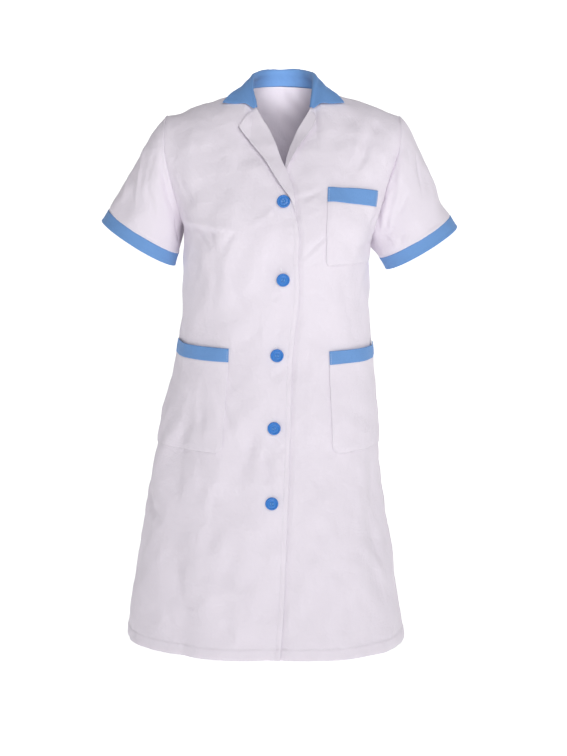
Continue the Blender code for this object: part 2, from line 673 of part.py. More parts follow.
def make_pockets():
    """Each pocket below its band."""
    for name, pocket in POCKETS.items():
        height = pocket["top"][1] - pocket["low"][1]
        band, gap, corner = POCKET_BAND / height, SEAM_GAP / height / 2, max(pocket["corners"]) / height
        cloth(BAND_NAMES[name], pocket_patch(pocket, np.linspace(0, band - gap, BAND_ROWS + 1)), BLUE_CLOTH)
        straight = np.linspace(band + gap, 1 - corner, POCKET_ROWS - len(CORNER_STEPS) + 1)
        rounded = 1 - corner * np.array(CORNER_STEPS)
        cloth(name, pocket_patch(pocket, np.concatenate([straight, rounded])), WHITE_CLOTH)


# ---------------------------------------------------------------- buttons
def button_mesh():
    """A dished disc with a rim, turned about Z, its back at z = 0."""
    radius, thick = BUTTON_DIAMETER / 2 * MM, BUTTON_THICKNESS * MM
    floor, rim, round_ = thick - BUTTON_DISH * MM, radius - BUTTON_RIM * MM, BUTTON_ROUND * MM
    profile = [(0, floor), (rim - round_, floor), (rim, thick), (radius - round_, thick),
               (radius, thick - round_), (radius, round_), (radius - round_, 0), (0, 0)]
    shape = bmesh.new()
    verts = [shape.verts.new((x, 0, z)) for x, z in profile]
    edges = [shape.edges.new(pair) for pair in zip(verts, verts[1:])]
    bmesh.ops.spin(shape, geom=verts + edges, angle=2 * np.pi, steps=BUTTON_SEGMENTS,
                   axis=(0, 0, 1), cent=(0, 0, 0))
    bmesh.ops.remove_doubles(shape, verts=shape.verts, dist=1e-6)
    bmesh.ops.recalc_face_normals(shape, faces=shape.faces)
    mesh = bpy.data.meshes.new("button")
    shape.to_mesh(mesh)
    shape.free()
    return mesh


def hole_cutter():
    """The four thread holes as one cutter."""
    shape = bmesh.new()
    for x in (-1, 1):
        for y in (-1, 1):
            made = bmesh.ops.create_cone(shape, cap_ends=True, segments=6, radius1=BUTTON_HOLE / 2 * MM,
                                         radius2=BUTTON_HOLE / 2 * MM, depth=3 * BUTTON_THICKNESS * MM)
            spot = Vector((x, y, 0)) * BUTTON_HOLE_SPREAD * MM
            bmesh.ops.translate(shape, verts=made["verts"], vec=spot)
    mesh = bpy.data.meshes.new("button_holes")
    shape.to_mesh(mesh)
    shape.free()
    cutter = bpy.data.objects.new("button_holes", mesh)
    bpy.data.collections["cutters"].objects.link(cutter)
    cutter.hide_render = True
    cutter.display_type = "WIRE"
    return cutter


def make_buttons():
    """Five buttons down the centre front, each lying on the right front."""
    base = button_mesh()
    for number, z in enumerate(BUTTON_HEIGHTS, 1):
        x = np.interp(z, ROWS["z_f"], ROWS["x_c"])
        share, up = (np.array([value]) for value in place(x, z))
        spot = surface(share, up, -1, np.array([BUTTON_GAP * MM]))[0]
        facing = Vector(normals(share, up, -1)[0]).to_track_quat("Z", "Y")
        button = new_object(f"button_{number}", base.copy(), BLUE_BUTTON)
        cutter = hole_cutter()
        for thing in (button, cutter):
            thing.location = spot
            thing.rotation_mode = "QUATERNION"
            thing.rotation_quaternion = facing
        cut = button.modifiers.new("holes", "BOOLEAN")
        cut.object = cutter


# ---------------------------------------------------------------- the garment
def main():
    for thing in list(bpy.data.objects):
        bpy.data.objects.remove(thing, do_unlink=True)
    for name in ("work_coat", "cutters"):
        bpy.context.scene.collection.children.link(bpy.data.collections.new(name))
    make_back()
    make_front("front_right", -1)
    make_front("front_left", 1)
    for word, cuff in zip(("right", "left"), CUFFS):
        make_sleeve(word, dict(zip(CUFF_COLUMNS, cuff)))
    make_collar()
    for name, lapel in LAPELS.items():
        make_lapel(name, **lapel)
    make_pockets()
    make_buttons()


main()
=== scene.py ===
# %% [markdown]
# # A short-sleeved work coat, finished for looks
# The CAD part gives each cut and sewn piece its place and size. Here each piece is made again on the same
# form as fine cloth, with its hems, stitching, creases and buttons, and stands in for its CAD node.
#
# Such a coat could be draped from flat cuts by a cloth simulation. That needs a wearer inside it, and there
# is none here, so each piece is a grid laid on the worn form and moved in or out of it by a height.
#
# Sizes in the tables are millimetres. Built things are in metres, +Z up, with the front facing -Y. The
# wearer's right is at -X. The origin is the middle of the neck, level with the top of the shoulder seams.

import bpy
import numpy as np
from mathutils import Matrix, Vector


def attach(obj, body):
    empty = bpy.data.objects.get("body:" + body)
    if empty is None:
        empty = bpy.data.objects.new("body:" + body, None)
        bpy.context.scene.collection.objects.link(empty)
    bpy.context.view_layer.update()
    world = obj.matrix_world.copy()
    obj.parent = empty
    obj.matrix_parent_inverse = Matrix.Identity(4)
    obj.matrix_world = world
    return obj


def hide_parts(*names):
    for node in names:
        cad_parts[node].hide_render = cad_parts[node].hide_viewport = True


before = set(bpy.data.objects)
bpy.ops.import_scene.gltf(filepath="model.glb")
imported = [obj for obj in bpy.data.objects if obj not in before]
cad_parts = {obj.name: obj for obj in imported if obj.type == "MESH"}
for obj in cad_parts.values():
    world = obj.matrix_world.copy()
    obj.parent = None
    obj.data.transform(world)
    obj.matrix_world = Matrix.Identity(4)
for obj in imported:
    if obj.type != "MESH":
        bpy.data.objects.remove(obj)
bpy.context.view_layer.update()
MM = 0.001

# %% [markdown]
# ## Driving sizes
# The real coat's body is a back and two fronts, sewn at the sides and shoulders. All three lie on one form,
# lofted through rows that run from the centre round to the side. A place on it is (share, up): share is the
# part of the row's length from the centre, -1 to 1, and up is the distance along the cloth above the hem. The
# form could be modelled by hand, but rows of sizes can be measured and changed.
#
# The sizes are the part's own, except SHOULDER_BOW, COLLAR_FOLD, COLLAR_LIFT and the roll line and outer edge
# in COLLAR_STATIONS, which follow the photograph more closely.

# %% Sizes of the form
NECK_HALF_WIDTH = 62.0
NECK_FRONT = (0.0, -64.0, -74.0)
NECK_BACK = (0.0, 70.0, 3.0)
NECK_DIP = 2.2
SHOULDER_TIP = (200.0, 4.0, -45.0)
SHOULDER_BOW = 1.0
LAPEL_JUNCTION = 45.5
ROW_COLUMNS = "x_c x_r z_r x_l z_l y_sf y_sb y_f z_f y_b z_b full_r full_l turn rise edge_r edge_l".split()
BODY_ROWS = [
    # hem
    (-33, -282, -974, 214, -974, 6, 6, -158, -974, 165, -974, 2.1, 3.0, 90, 0, -6, -60),
    (-27, -270, -870, 199, -870, 5, 5, -156, -870, 158, -870, 2.15, 2.75, 90, 0, 1, -54),
    (-21, -246, -740, 182, -740, 4, 4, -152, -740, 148, -740, 2.2, 2.4, 90, 0, 6, -48),
    # hip
    (-18, -221, -605, 167, -605, 2, 2, -147, -605, 135, -605, 2.25, 2.3, 90, 0, 11, -45),
    (-14, -201, -520, 162, -520, 0, 0, -141, -520, 122, -520, 2.3, 2.3, 90, 0, 13, -41),
    # waist
    (-11, -183, -440, 155, -440, 0, 0, -134, -440, 106, -440, 2.35, 2.35, 90, 0, 16, -38),
    (-4, -176, -365, 151, -365, 0, 0, -135, -365, 104, -365, 2.4, 2.4, 90, 0, 24, -31),
    (0, -174, -300, 150, -300, 0, 0, -139, -300, 110, -300, 2.4, 2.4, 90, 0, 26, -27),
    # armpit
    (0, -172, -232, 153, -262, 0, 0, -138, -246, 113, -240, 2.4, 2.4, 90, 0, 19, -25),
    (0, -174, -221, 156, -250, -23, 25, -136, -232, 113, -224, 2.4, 2.4, 88, 0, 17, -23),
    (0, -180, -192, 166, -214, -43, 47, -128, -198, 112, -190, 2.4, 2.4, 82, 0, 11, -17),
    (0, -191, -148, 184, -160, -53, 60, -111, -155, 106, -138, 2.4, 2.4, 75, 2, 6, -4),
    (0, -201, -100, 200, -105, -51, 60, -88, -112, 93, -76, 2.4, 2.4, 68, 8, -9, 9),
]
ARMPIT_ROW = 8
# The neckline's part of the top row, and the metres that a share of 1 stands for where widths are measured.
NECK_SHARE = 0.4
ROW_SPAN = 0.26
# The cloth ends level at the shoulder seams. At the neckline it leans (in, up), less so near the middle
# front, and from LEAN_END on it turns level.
NECK_LEAN = (0.35, 0.8)
LEAN_END = 0.7 * NECK_SHARE
FULL_LEAN_AT = 0.24
LEAST_LEAN = 0.4
BUST = dict(across=88.0, height=-232.0, out=9.0, spread=62.0)
CUFF_FRONT_DROP = 3.0
CUFF_DEPTH = 124.0
CUFF_COLUMNS = "side out_x out_z in_x in_z low_out_x low_out_z low_in_x low_in_z".split()
CUFFS = [
    (-1, -303, -207, -183, -281, -315, -225, -190, -302),
    (1, 289, -217, 168, -289, 301, -236, 179, -308),
]
SLEEVE_LOW = (0.30, -0.95)
SLEEVE_HIGH = (0.85, -0.50)
SLEEVE_BULGE = 0.45
SLEEVE_SLACK = 0.55
COLLAR_COLUMNS = "seam face roll_x roll_y roll_z edge drop edge_face".split()
COLLAR_STATIONS = [
    (0.00, 1, 0, 68, 32.5, 0.00, 20, 1),
    (0.19, 1, 29, 60, 32.5, 0.20, 19, 1),
    (0.33, 1, 47, 36, 28.5, 0.42, 16, 1),
    (0.40, -1, 54, 7, 22, 0.475, 2, -1),
    (0.33, -1, 52.5, -19, 3, 0.522, 15.5, -1),
    (0.24, -1, 47, -41, -26.5, 0.563, 29.5, -1),
]
COLLAR_RISE = {-1: 3.0, 1: 1.2}
COLLAR_FOLD = 1.4
COLLAR_BOW = 1.5
COLLAR_SPREAD = 4.5
COLLAR_CLEAR = 4.8
COLLAR_LIFT = 4.6
BUTTON_HEIGHTS = (-181, -311, -441, -565, -694)
print("body rows:", len(BODY_ROWS), "- buttons:", len(BUTTON_HEIGHTS))

# %% [markdown]
# ## Folds and creases
# Worn cloth hangs in large soft folds and is crossed by finer creases where it is pulled or was pressed. They
# could come from a simulation or from noise, but neither would put them where the photograph has them, so
# each is placed one by one: a soft trough (depth below 0) or ridge between two places, given as (x, z) seen
# from the front. FOLDS are the part's own large folds. CREASES are finer: read off the photograph at the
# front, and made up in the same manner for the back, which it doesn't show. bow bends a crease sideways.

# %% Folds and creases of the body
FOLD_FADE = 0.25
CREASE_FADE = 0.4
HEM_REACH = 20.0
FOLD_COLUMNS = "face x_top z_top x_low z_low width depth".split()
FOLDS = [
    (-1, -110, -275, -122, -405, 14, -2.2),
    (-1, 104, -275, 108, -405, 14, -2.2),
    (-1, -172, -500, -180, -974, 24, -5.0),
    (-1, -120, -600, -118, -974, 22, 3.0),
    (-1, -154, -690, -88, -860, 20, -4.5),
    (-1, -52, -620, -10, -820, 19, 4.0),
    (-1, 155, -560, 164, -974, 23, -5.0),
    (-1, 70, -640, 84, -974, 26, 4.0),
    (1, -85, -300, -90, -540, 14, -2.2),
    (1, 75, -300, 80, -540, 14, -2.2),
    (1, -160, -560, -190, -974, 25, -6.0),
    (1, -75, -600, -95, -974, 27, 5.0),
    (1, 10, -620, 0, -974, 26, -5.0),
    (1, 105, -560, 125, -974, 27, 5.0),
]
CREASE_COLUMNS = "face x_top z_top x_low z_low bow width depth".split()
CREASES = [
    # right front: the bust, the dart and what runs into them
    (-1, -122, -226, -106, -278, 3, 4.5, -1.9),
    (-1, -80, -227, -107, -283, -3, 7, -2.4),
    (-1, -159, -219, -112, -268, 4, 7.5, -2.6),
    (-1, -168, -213, -74, -228, 3, 10, 2.0),
    (-1, -166, -225, -90, -239, 3, 8, -1.5),
    (-1, -77, -232, -122, -392, 2, 12, 2.5),
    (-1, -68, -76, 8, -178, 6, 11, 2.4),
    (-1, -150, -262, -140, -400, 3, 20, -2.4),
    (-1, -146, -236, -118, -268, 2, 5, -1.2),
    (-1, -60, -222, -11, -186, 4, 7.5, 1.8),
    (-1, -156, -251, -136, -351, 6, 17, -1.6),
    (-1, -95, -300, -88, -390, 2, 11, 0.9),
    (-1, -65, -406, -50, -424, 1, 4, -1.4),
    (-1, -98, -484, -77, -500, 1, 5, -1.2),
    (-1, -45, -330, -58, -420, 3, 12, 1.8),
    # right front: the shoulder and the armhole
    (-1, -150, -62, -128, -150, 6, 11, -2.1),
    (-1, -182, -130, -150, -196, 6, 7.5, -2.3),
    (-1, -176, -188, -148, -226, 3, 6, -2.1),
    # right front: the skirt
    (-1, -138, -470, -138, -600, 3, 8.5, -2.3),
    (-1, -57, -735, -33, -792, 3, 7.5, -2.3),
    (-1, -30, -600, -22, -668, 2, 7, -1.9),
    (-1, -205, -872, -195, -940, 2, 7, -2.4),
    (-1, -101, -893, -82, -950, 2, 7, -2.3),
    (-1, -236, -690, -205, -748, 4, 11, -3.9),
    (-1, -220, -620, -205, -700, 3, 10, 2.1),
    (-1, -60, -520, -52, -640, 4, 12, -1.6),
    (-1, -148, -780, -140, -930, 3, 11, 1.2),
    (-1, -168, -730, -172, -905, 0, 18, 2.6),
    (-1, -20, -262, -34, -318, 2, 6, -1.4),
    (-1, 2, -330, -22, -352, 3, 5, -1.2),
    (-1, 6, -388, -16, -414, 3, 5, -1.5),
    (-1, -34, -378, -30, -432, 3, 6, 1.2),
    (-1, 4, -462, -22, -488, 3, 6, -1.3),
    (-1, -24, -505, -30, -560, 3, 6, -1.3),
    (-1, -34, -590, -18, -676, 4, 7, -2.4),
    (-1, -14, -596, -4, -682, 3, 6, 1.8),
    (-1, -44, -560, -62, -640, 4, 8, -1.6),
    (-1, -130, -472, -74, -626, -6, 7, -2.0),
    (-1, -186, -820, -168, -900, 4, 10, -2.4),
    (-1, 12, -780, 34, -862, 4, 10, -2.4),
    (-1, 8, -590, -16, -622, 3, 6, -1.2),
    (-1, -112, -655, -122, -742, 3, 8, -1.9),
    (-1, -176, -560, -172, -640, 3, 7, -2.0),
    (-1, -70, -850, -62, -930, 3, 8, -1.8),
    # left front
    (-1, 44, -330, 76, -352, -4, 6, -1.5),
    (-1, 120, -300, 92, -332, 4, 6, -1.6),
    (-1, 50, -420, 40, -500, 3, 7, -1.4),
    (-1, 100, -640, 92, -730, 3, 9, -1.4),
    (-1, 150, -720, 150, -830, 3, 9, -1.0),
    (-1, 76, -860, 70, -945, 3, 8, -1.8),
    (-1, 23, -283, 74, -226, 4, 3.5, -2.0),
    (-1, 31, -286, 80, -231, 4, 6, 1.3),
    (-1, 14, -178, 76, -155, 5, 6, -2.2),
    (-1, 30, -205, 68, -190, 3, 7, 1.4),
    (-1, 142, -56, 119, -140, -6, 7.5, -3.5),
    (-1, 163, -46, 150, -74, -2, 5, -2.1),
    (-1, 128, -62, 104, -128, -4, 7.5, 1.8),
    (-1, 172, -180, 140, -232, -5, 7.5, -2.8),
    (-1, 160, -238, 118, -262, -4, 7.5, -2.1),
    (-1, 150, -280, 132, -350, -4, 11, -2.8),
    (-1, 107, -398, 94, -416, 1, 4, -1.8),
    (-1, 60, -300, 66, -390, -3, 12, 1.8),
    (-1, 8, -835, 42, -924, 4, 7, -1.9),
    (-1, 36, -470, 30, -600, 4, 11, -1.6),
    (-1, 60, -700, 30, -830, -5, 12, -2.4),
    (-1, 126, -640, 132, -800, 4, 14, 1.4),
    (-1, 120, -850, 110, -940, 3, 8.5, -2.1),
    # the back: shoulder blades, waist, seat and skirt
    (1, -118, -80, -64, -196, 8, 13.5, -2.4),
    (1, 122, -84, 66, -190, -8, 13.5, -2.6),
    (1, -166, -190, -104, -250, 6, 8.5, -2.8),
    (1, 158, -206, 98, -262, -6, 8.5, -2.6),
    (1, -150, -262, -96, -310, 5, 7.5, -2.1),
    (1, 142, -276, 90, -322, -5, 7.5, -2.1),
    (1, -60, -352, 44, -372, 7, 7.5, -2.3),
    (1, -34, -398, 70, -384, -6, 7, -1.9),
    (1, -140, -372, -84, -402, 4, 7, -1.9),
    (1, 132, -388, 82, -418, -4, 7, -1.8),
    (1, -30, -60, -26, -210, 3, 13.5, 1.6),
    (1, 36, -70, 30, -226, -3, 13, 1.4),
    (1, -132, -470, -120, -640, 5, 13, 2.1),
    (1, 44, -480, 52, -660, -4, 13.5, -2.3),
    (1, -40, -500, -50, -640, 4, 12, 1.9),
    (1, 150, -640, 158, -800, 4, 12, 2.6),
    (1, -120, -760, -150, -920, -5, 12, -2.8),
    (1, 60, -740, 68, -930, 4, 11, -2.4),
]

# Sleeves: (side, face, x and z of the two ends, bow, width, depth), all seen from the front.
SLEEVE_COLUMNS = "side face x_top z_top x_low z_low bow width depth".split()
SLEEVE_CREASES = [
    (-1, -1, -223, -72, -253, -210, 5, 9, -3.2),
    (-1, -1, -214, -92, -232, -190, 3, 9, 1.2),
    (-1, -1, -208, -96, -186, -212, 3, 10, 3.6),
    (-1, -1, -186, -208, -181, -264, 2, 9, 2.4),
    (-1, -1, -221, -254, -200, -246, 2, 4.5, -1.3),
    (-1, -1, -262, -120, -276, -196, 3, 10, -2),
    (-1, -1, -236, -150, -214, -226, -4, 9, 1.6),
    (1, -1, 209, -90, 192, -176, -3, 11, -4.4),
    (1, -1, 192, -156, 167, -248, -4, 11, -5.6),
    (1, -1, 226, -92, 240, -188, -4, 9, 2.8),
    (1, -1, 200, -250, 226, -262, 1, 4.5, -2.4),
    (1, -1, 176, -244, 208, -258, 1, 4.5, -2.2),
    (1, -1, 217, -165, 190, -216, 3, 7, 2),
    (1, -1, 204, -150, 178, -256, -5, 8, -2.3),
    (1, -1, 168, -266, 177, -285, 1, 4.5, -1.3),
    (1, -1, 186, -256, 198, -270, 1, 4.5, -1.2),
    (1, -1, 250, -110, 262, -200, -3, 11, -2.2),
    (-1, 1, -218, -80, -246, -206, 5, 10, -2.9),
    (-1, 1, -198, -132, -190, -236, 3, 8, -2.8),
    (-1, 1, -240, -150, -222, -240, -4, 9, 1.7),
    (1, 1, 212, -84, 236, -204, -5, 10, -2.9),
    (1, 1, 192, -142, 178, -250, -3, 8, -2.8),
    (1, 1, 232, -150, 212, -246, 4, 9, 1.7),
]

# Ripple: what is left of the cloth's unevenness, as plane waves of a wavelength, a height and a steepness.
# SLOW_WAYS and SLOW_STARTS are three slow waves that shift their phases by WANDER and swell them by SWELL.
RIPPLE_SEED = 11
RIPPLE = [(150, 1.0, 0.12), (95, 0.9, 0.2), (62, 0.9, 0.35), (38, 0.6, 0.6), (24, 0.24, 0.9)]
WAVES_EACH = 7
WANDER = 1.3
SWELL = 0.6
SLOW_WAYS = [(17.0, -11.0, 23.0), (5.0, 19.0, -9.0), (-13.0, 7.0, 31.0)]
SLOW_STARTS = (0.4, 2.1, 4.4)
print("folds:", len(FOLDS), "- creases:", len(CREASES) + len(SLEEVE_CREASES))

# %% [markdown]
# ## Curves
# A seam or an edge of the coat is a smooth line, and cloth is measured along it. Blender's own curves could
# draw such lines, but here they only guide grids of points, so a few helpers on arrays are enough: a cubic
# spline, a smooth step, and distances and places along a line.

# %% Curve helpers
def table(rows, columns):
    """The rows as a dict of columns."""
    values = np.array(rows, float)
    return {name: values[:, i] for i, name in enumerate(columns)}


def spline_weights(knots, at):
    """Weights of a cubic spline, natural at the first knot and with a given slope at the last.

    A value at `at` is weights @ values + last * slope.
    """
    n = len(knots)
    step = np.diff(knots)
    left, right = np.zeros((n, n)), np.zeros((n, n))
    left[0, :2] = 2, 1
    right[0, :2] = -3 / step[0], 3 / step[0]
    for i in range(1, n - 1):
        before, after = 1 / step[i - 1], 1 / step[i]
        left[i, i - 1 : i + 2] = before, 2 * (before + after), after
        right[i, i - 1 : i + 2] = -3 * before**2, 3 * (before**2 - after**2), 3 * after**2
    left[-1, -1] = 1
    solved = np.linalg.inv(left)
    slopes = solved @ right
    at = np.asarray(at, float)
    k = np.clip(np.searchsorted(knots, at, side="right") - 1, 0, n - 2)
    h = step[k]
    t = (at - knots[k]) / h
    h10, h11 = (t**3 - 2 * t**2 + t) * h, (t**3 - t**2) * h
    weights = h10[:, None] * slopes[k] + h11[:, None] * slopes[k + 1]
    here = np.arange(len(at))
    weights[here, k] += 2 * t**3 - 3 * t**2 + 1
    weights[here, k + 1] += 3 * t**2 - 2 * t**3
    return weights, h10 * solved[k, -1] + h11 * solved[k + 1, -1]


def smooth(knots, values, at):
    """A cubic spline through values, leaving the last one straight on."""
    values = np.asarray(values, float)
    weights, last = spline_weights(np.asarray(knots, float), at)
    slope = (values[-1] - values[-2]) / (knots[-1] - knots[-2])
    return np.tensordot(weights, values, 1) + np.multiply.outer(last, slope)


def ease(t):
    """A smooth step from 0 to 1 as t goes from 0 to 1: three t squared less two t cubed."""
    t = np.clip(t, 0, 1)
    return 3 * t**2 - 2 * t**3


def distances(points):
    """Distance along a polyline at each of its points, or down each column of a grid."""
    steps = np.linalg.norm(np.diff(points, axis=0), axis=-1)
    return np.concatenate([np.zeros_like(steps[:1]), np.cumsum(steps, axis=0)])


def to_last_column(grid):
    """Distance of each point of a grid from its last column, along its row."""
    return distances(grid[:, ::-1].transpose(1, 0, 2))[::-1].T


def along(points, share):
    """Points at shares 0 to 1 of a polyline's length."""
    length = distances(points)
    return np.stack([np.interp(share * length[-1], length, points[:, i]) for i in range(3)], -1)


def unit(vectors):
    """The vectors at length 1."""
    return vectors / np.maximum(np.linalg.norm(vectors, axis=-1, keepdims=True), 1e-12)


print("a smooth step is", float(ease(0.5)), "half way")

# %% [markdown]
# ## The body's form
# The worn coat is round at the sides and flatter in front, narrow at the waist and wide at the hem. It could
# be sculpted, but quarters of superellipses give each row from a few sizes. The top row is the neckline and
# then the shoulder seam. A cubic spline joins the rows, and the bust is a bell over the front.

# %% The form
ROWS = table(BODY_ROWS, ROW_COLUMNS)
DENSE = 400


def half_row(i, side, face):
    """A dense line along row i from the middle to one side: x goes as sine, depth as cosine, to a power."""
    x_side, z_side = (ROWS["x_r"][i], ROWS["z_r"][i]) if side < 0 else (ROWS["x_l"][i], ROWS["z_l"][i])
    names = ("y_f", "z_f", "y_sf") if face < 0 else ("y_b", "z_b", "y_sb")
    y_mid, z_mid, y_side = (ROWS[name][i] for name in names)
    angle = np.linspace(0, 1, DENSE) * np.radians(ROWS["turn"][i])
    power = 2 / ROWS["full_r" if side < 0 else "full_l"][i]
    out = np.sin(angle) ** power
    back = 1 - np.cos(angle) ** power
    out, back = out / out[-1], back / back[-1]
    x = ROWS["x_c"][i] + (x_side - ROWS["x_c"][i]) * out
    y = y_mid + (y_side - y_mid) * back
    z = z_mid + (z_side - z_mid) * out**2 + 4 * ROWS["rise"][i] * out**2 * (1 - out**2)
    return np.stack([x, y, z], -1) * MM


def top_row(side, face):
    """The last row in two lines: a quarter of the neckline, then the shoulder seam."""
    middle = np.array(NECK_FRONT if face < 0 else NECK_BACK)
    angle = np.linspace(0, np.pi / 2, DENSE)
    neck_x = side * NECK_HALF_WIDTH * np.sin(angle)
    neck = np.stack([neck_x, middle[1] * np.cos(angle), middle[2] * np.cos(angle) ** NECK_DIP], -1)
    share = np.linspace(0, 1, DENSE)[:, None]
    neck_point = np.array([side * NECK_HALF_WIDTH, 0, 0])
    tip = np.array(SHOULDER_TIP) * (side, 1, 1)
    bow = np.array([0, 0, SHOULDER_BOW]) * 4 * share * (1 - share)
    return neck * MM, (neck_point + (tip - neck_point) * share + bow) * MM


def row_points(i, share, face):
    """Points of row i at signed shares."""
    made = np.zeros(share.shape + (3,))
    for side in (-1, 1):
        here = share < 0 if side < 0 else share >= 0
        size = np.abs(share[here])
        if i < len(BODY_ROWS):
            made[here] = along(half_row(i, side, face), size)
            continue
        neck, shoulder = top_row(side, face)
        on_neck = along(neck, np.clip(size / NECK_SHARE, 0, 1))
        on_shoulder = along(shoulder, np.clip((size - NECK_SHARE) / (1 - NECK_SHARE), 0, 1))
        made[here] = np.where((size < NECK_SHARE)[:, None], on_neck, on_shoulder)
    return made


def row_knots():
    """Distance of each row above the hem, along the cloth, as a mean of four lines up the front."""
    places = np.array([-1, -0.6, 0.6, 1])
    lines = np.stack([row_points(i, places, -1) for i in range(len(BODY_ROWS) + 1)])
    step = np.linalg.norm(np.diff(lines, axis=0), axis=2).mean(axis=1)
    return np.concatenate([[0], np.cumsum(step)])


KNOTS = row_knots()
TOP = KNOTS[-1]
ARMPIT = KNOTS[ARMPIT_ROW]


def form(share, up, face):
    """Points of the form at (share, up). face is -1 for the front and 1 for the back."""
    share, up = np.broadcast_arrays(np.asarray(share, float), np.asarray(up, float))
    flat, heights = share.ravel(), up.ravel()
    values = np.stack([row_points(i, flat, face) for i in range(len(KNOTS))])
    weights, last = spline_weights(KNOTS, heights)
    size = np.abs(flat)
    over = np.clip((size - LEAN_END) / (NECK_SHARE - LEAN_END), 0, 1)[:, None]
    steep = np.clip(size / FULL_LEAN_AT, LEAST_LEAN, 1)[:, None] if face < 0 else 1.0
    lean = np.array([0, -face * NECK_LEAN[0], NECK_LEAN[1]])
    slope = over * np.array([0, -face, 0]) + (1 - over) * steep * lean
    points = np.einsum("pk,kpc->pc", weights, values) + last[:, None] * slope
    points[:, 1] += side_straightener(heights, weights, face) * size**6
    if face < 0:
        points[:, 1] -= bust(points)
    return points.reshape(share.shape + (3,))


def side_straightener(heights, weights, face):
    """What brings the spline back to the side seam's own depth, so that front and back meet there."""
    depth = np.append(ROWS["y_sf" if face < 0 else "y_sb"], SHOULDER_TIP[1]) * MM
    return np.where(heights < ARMPIT, np.interp(heights, KNOTS, depth) - weights @ depth, 0)


def bust(points):
    """How far the front stands out above the ends of the two waist darts: a bell."""
    across = np.abs(points[..., 0]) - BUST["across"] * MM
    height = points[..., 2] - BUST["height"] * MM
    return BUST["out"] * MM * np.exp(-(across**2 + height**2) / (BUST["spread"] * MM) ** 2)


def normals(share, up, face, step=0.004):
    """Unit normals of the form, facing out: the cross product of small steps across and up."""
    lower, upper = np.clip(up - step, 0, TOP), np.clip(up + step, 0, TOP)
    before, after = np.clip(share - step, -1, 1), np.clip(share + step, -1, 1)
    across = form(after, up, face) - form(before, up, face)
    upward = form(share, upper, face) - form(share, lower, face)
    return unit(-face * np.cross(across, upward))


print(f"form: {TOP:.3f} m up the cloth, the armpit at {ARMPIT:.3f} m")

# %% The fronts' edges, and lengths across
# How far the front's edge is from the part's own towards the wearer's left, as (height up the cloth, move).
# The moves are averaged over EDGE_SOFT up and down.
EDGE_SOFT = 9.0
EDGE_SHIFTS = {
    -1: [(700, 0), (733, 9), (780, 12), (826, 13), (846, 9.5), (870, 6), (880, 4.5), (899, 5.5), (925, 11.5),
         (952, 19.5), (983, 28), (994, 28)],
    1: [(850, 0), (878, -2), (915, -8), (953, -20), (985, -28), (994, -28)],
}


def front_edge(up, side):
    """The share at which a front ends: the part's edge, and above the break its roll line, drawn closer."""
    column = ROWS["edge_r" if side < 0 else "edge_l"]
    shares = np.linspace(-1, 1, 2 * DENSE)
    places = [*column, side * LAPEL_JUNCTION]
    ends = [np.interp(x * MM, row_points(i, shares, -1)[:, 0], shares) for i, x in enumerate(places)]
    heights, moves = np.array(EDGE_SHIFTS[side]).T
    nearby = np.linspace(-EDGE_SOFT, EDGE_SOFT, 7)
    move = np.mean([np.interp(up / MM + off, heights, moves) for off in nearby], axis=0)
    return smooth(KNOTS, ends, up.ravel()).reshape(up.shape) + move * MM / ROW_SPAN


def half_lengths(side, face):
    """The length of each half row, from the middle to the side."""
    rows = [distances(half_row(i, side, face))[-1] for i in range(len(BODY_ROWS))]
    return np.array(rows + [sum(distances(line)[-1] for line in top_row(side, face))])


HALF_LENGTHS = {(side, face): half_lengths(side, face) for side in (-1, 1) for face in (-1, 1)}


def span(up, side, face):
    """The length of the half row at each height up the cloth."""
    return np.interp(up, KNOTS, HALF_LENGTHS[side, face])


print("half way round:", {key: round(float(row[0]), 3) for key, row in HALF_LENGTHS.items()}, "m at the hem")

# %% [markdown]
# ## Looking places up, and the relief
# A tailor marks a pocket or a crease on the cloth. `place` does that: it finds the cloth at (x, z) as seen
# from the front. `relief` is how far the real cloth stands off the smooth form. It could be a displacement
# map, but as a height worked out at any place it moves pockets, lapels, stitches and buttons with the cloth
# they lie on. It brings all but the ripple to nothing at a seam, so that the pieces meet there.

# %% Places
PLACE_STEPS = 400


def place_grid(face):
    """A dense grid of the form, to look places up in."""
    share, up = np.meshgrid(np.linspace(-1, 1, PLACE_STEPS + 1), np.linspace(0, TOP, PLACE_STEPS + 1))
    return share, up, form(share, up, face)


PLACES = {face: place_grid(face) for face in (-1, 1)}


def place(x, z, face=-1):
    """The (share, up) of the form's point at (x, z) millimetres: the nearest grid point and one step on."""
    share, up, points = PLACES[face]
    off = (points[..., 0] - x * MM) ** 2 + (points[..., 2] - z * MM) ** 2
    nearest = np.unravel_index(np.argmin(off), off.shape)
    row, column = np.clip(nearest, 1, PLACE_STEPS - 1)
    across = (points[row, column + 1] - points[row, column - 1]) / 2
    upward = (points[row + 1, column] - points[row - 1, column]) / 2
    missing = np.array([x, 0, z]) * MM - points[row, column]
    steps = np.clip(np.linalg.solve(np.stack([across, upward], 1)[[0, 2]], missing[[0, 2]]), -1, 1)
    return (share[row, column] + steps[0] * (share[0, 1] - share[0, 0]),
            up[row, column] + steps[1] * (up[1, 0] - up[0, 0]))


print("the first button is at (share, up)", [round(float(at), 3) for at in place(0, BUTTON_HEIGHTS[0])])

# %% Relief
# Folds fade out over RELIEF_SEAM at a seam. The cloth dips along the side seams and, from SHOULDER_START on,
# along the top. Beside the left armhole is a valley, and along the right one a ridge (below 0).
RELIEF_SEAM = 8.0
SEAM_DIP = 3.5
SIDE_DIP_DEPTH = 0.2
TOP_DIP_DEPTH = 0.15
SHOULDER_START = 0.3
ARM_VALLEY = {-1: -4.0, 1: 4.2}
ARM_VALLEY_WIDTH = 13.0


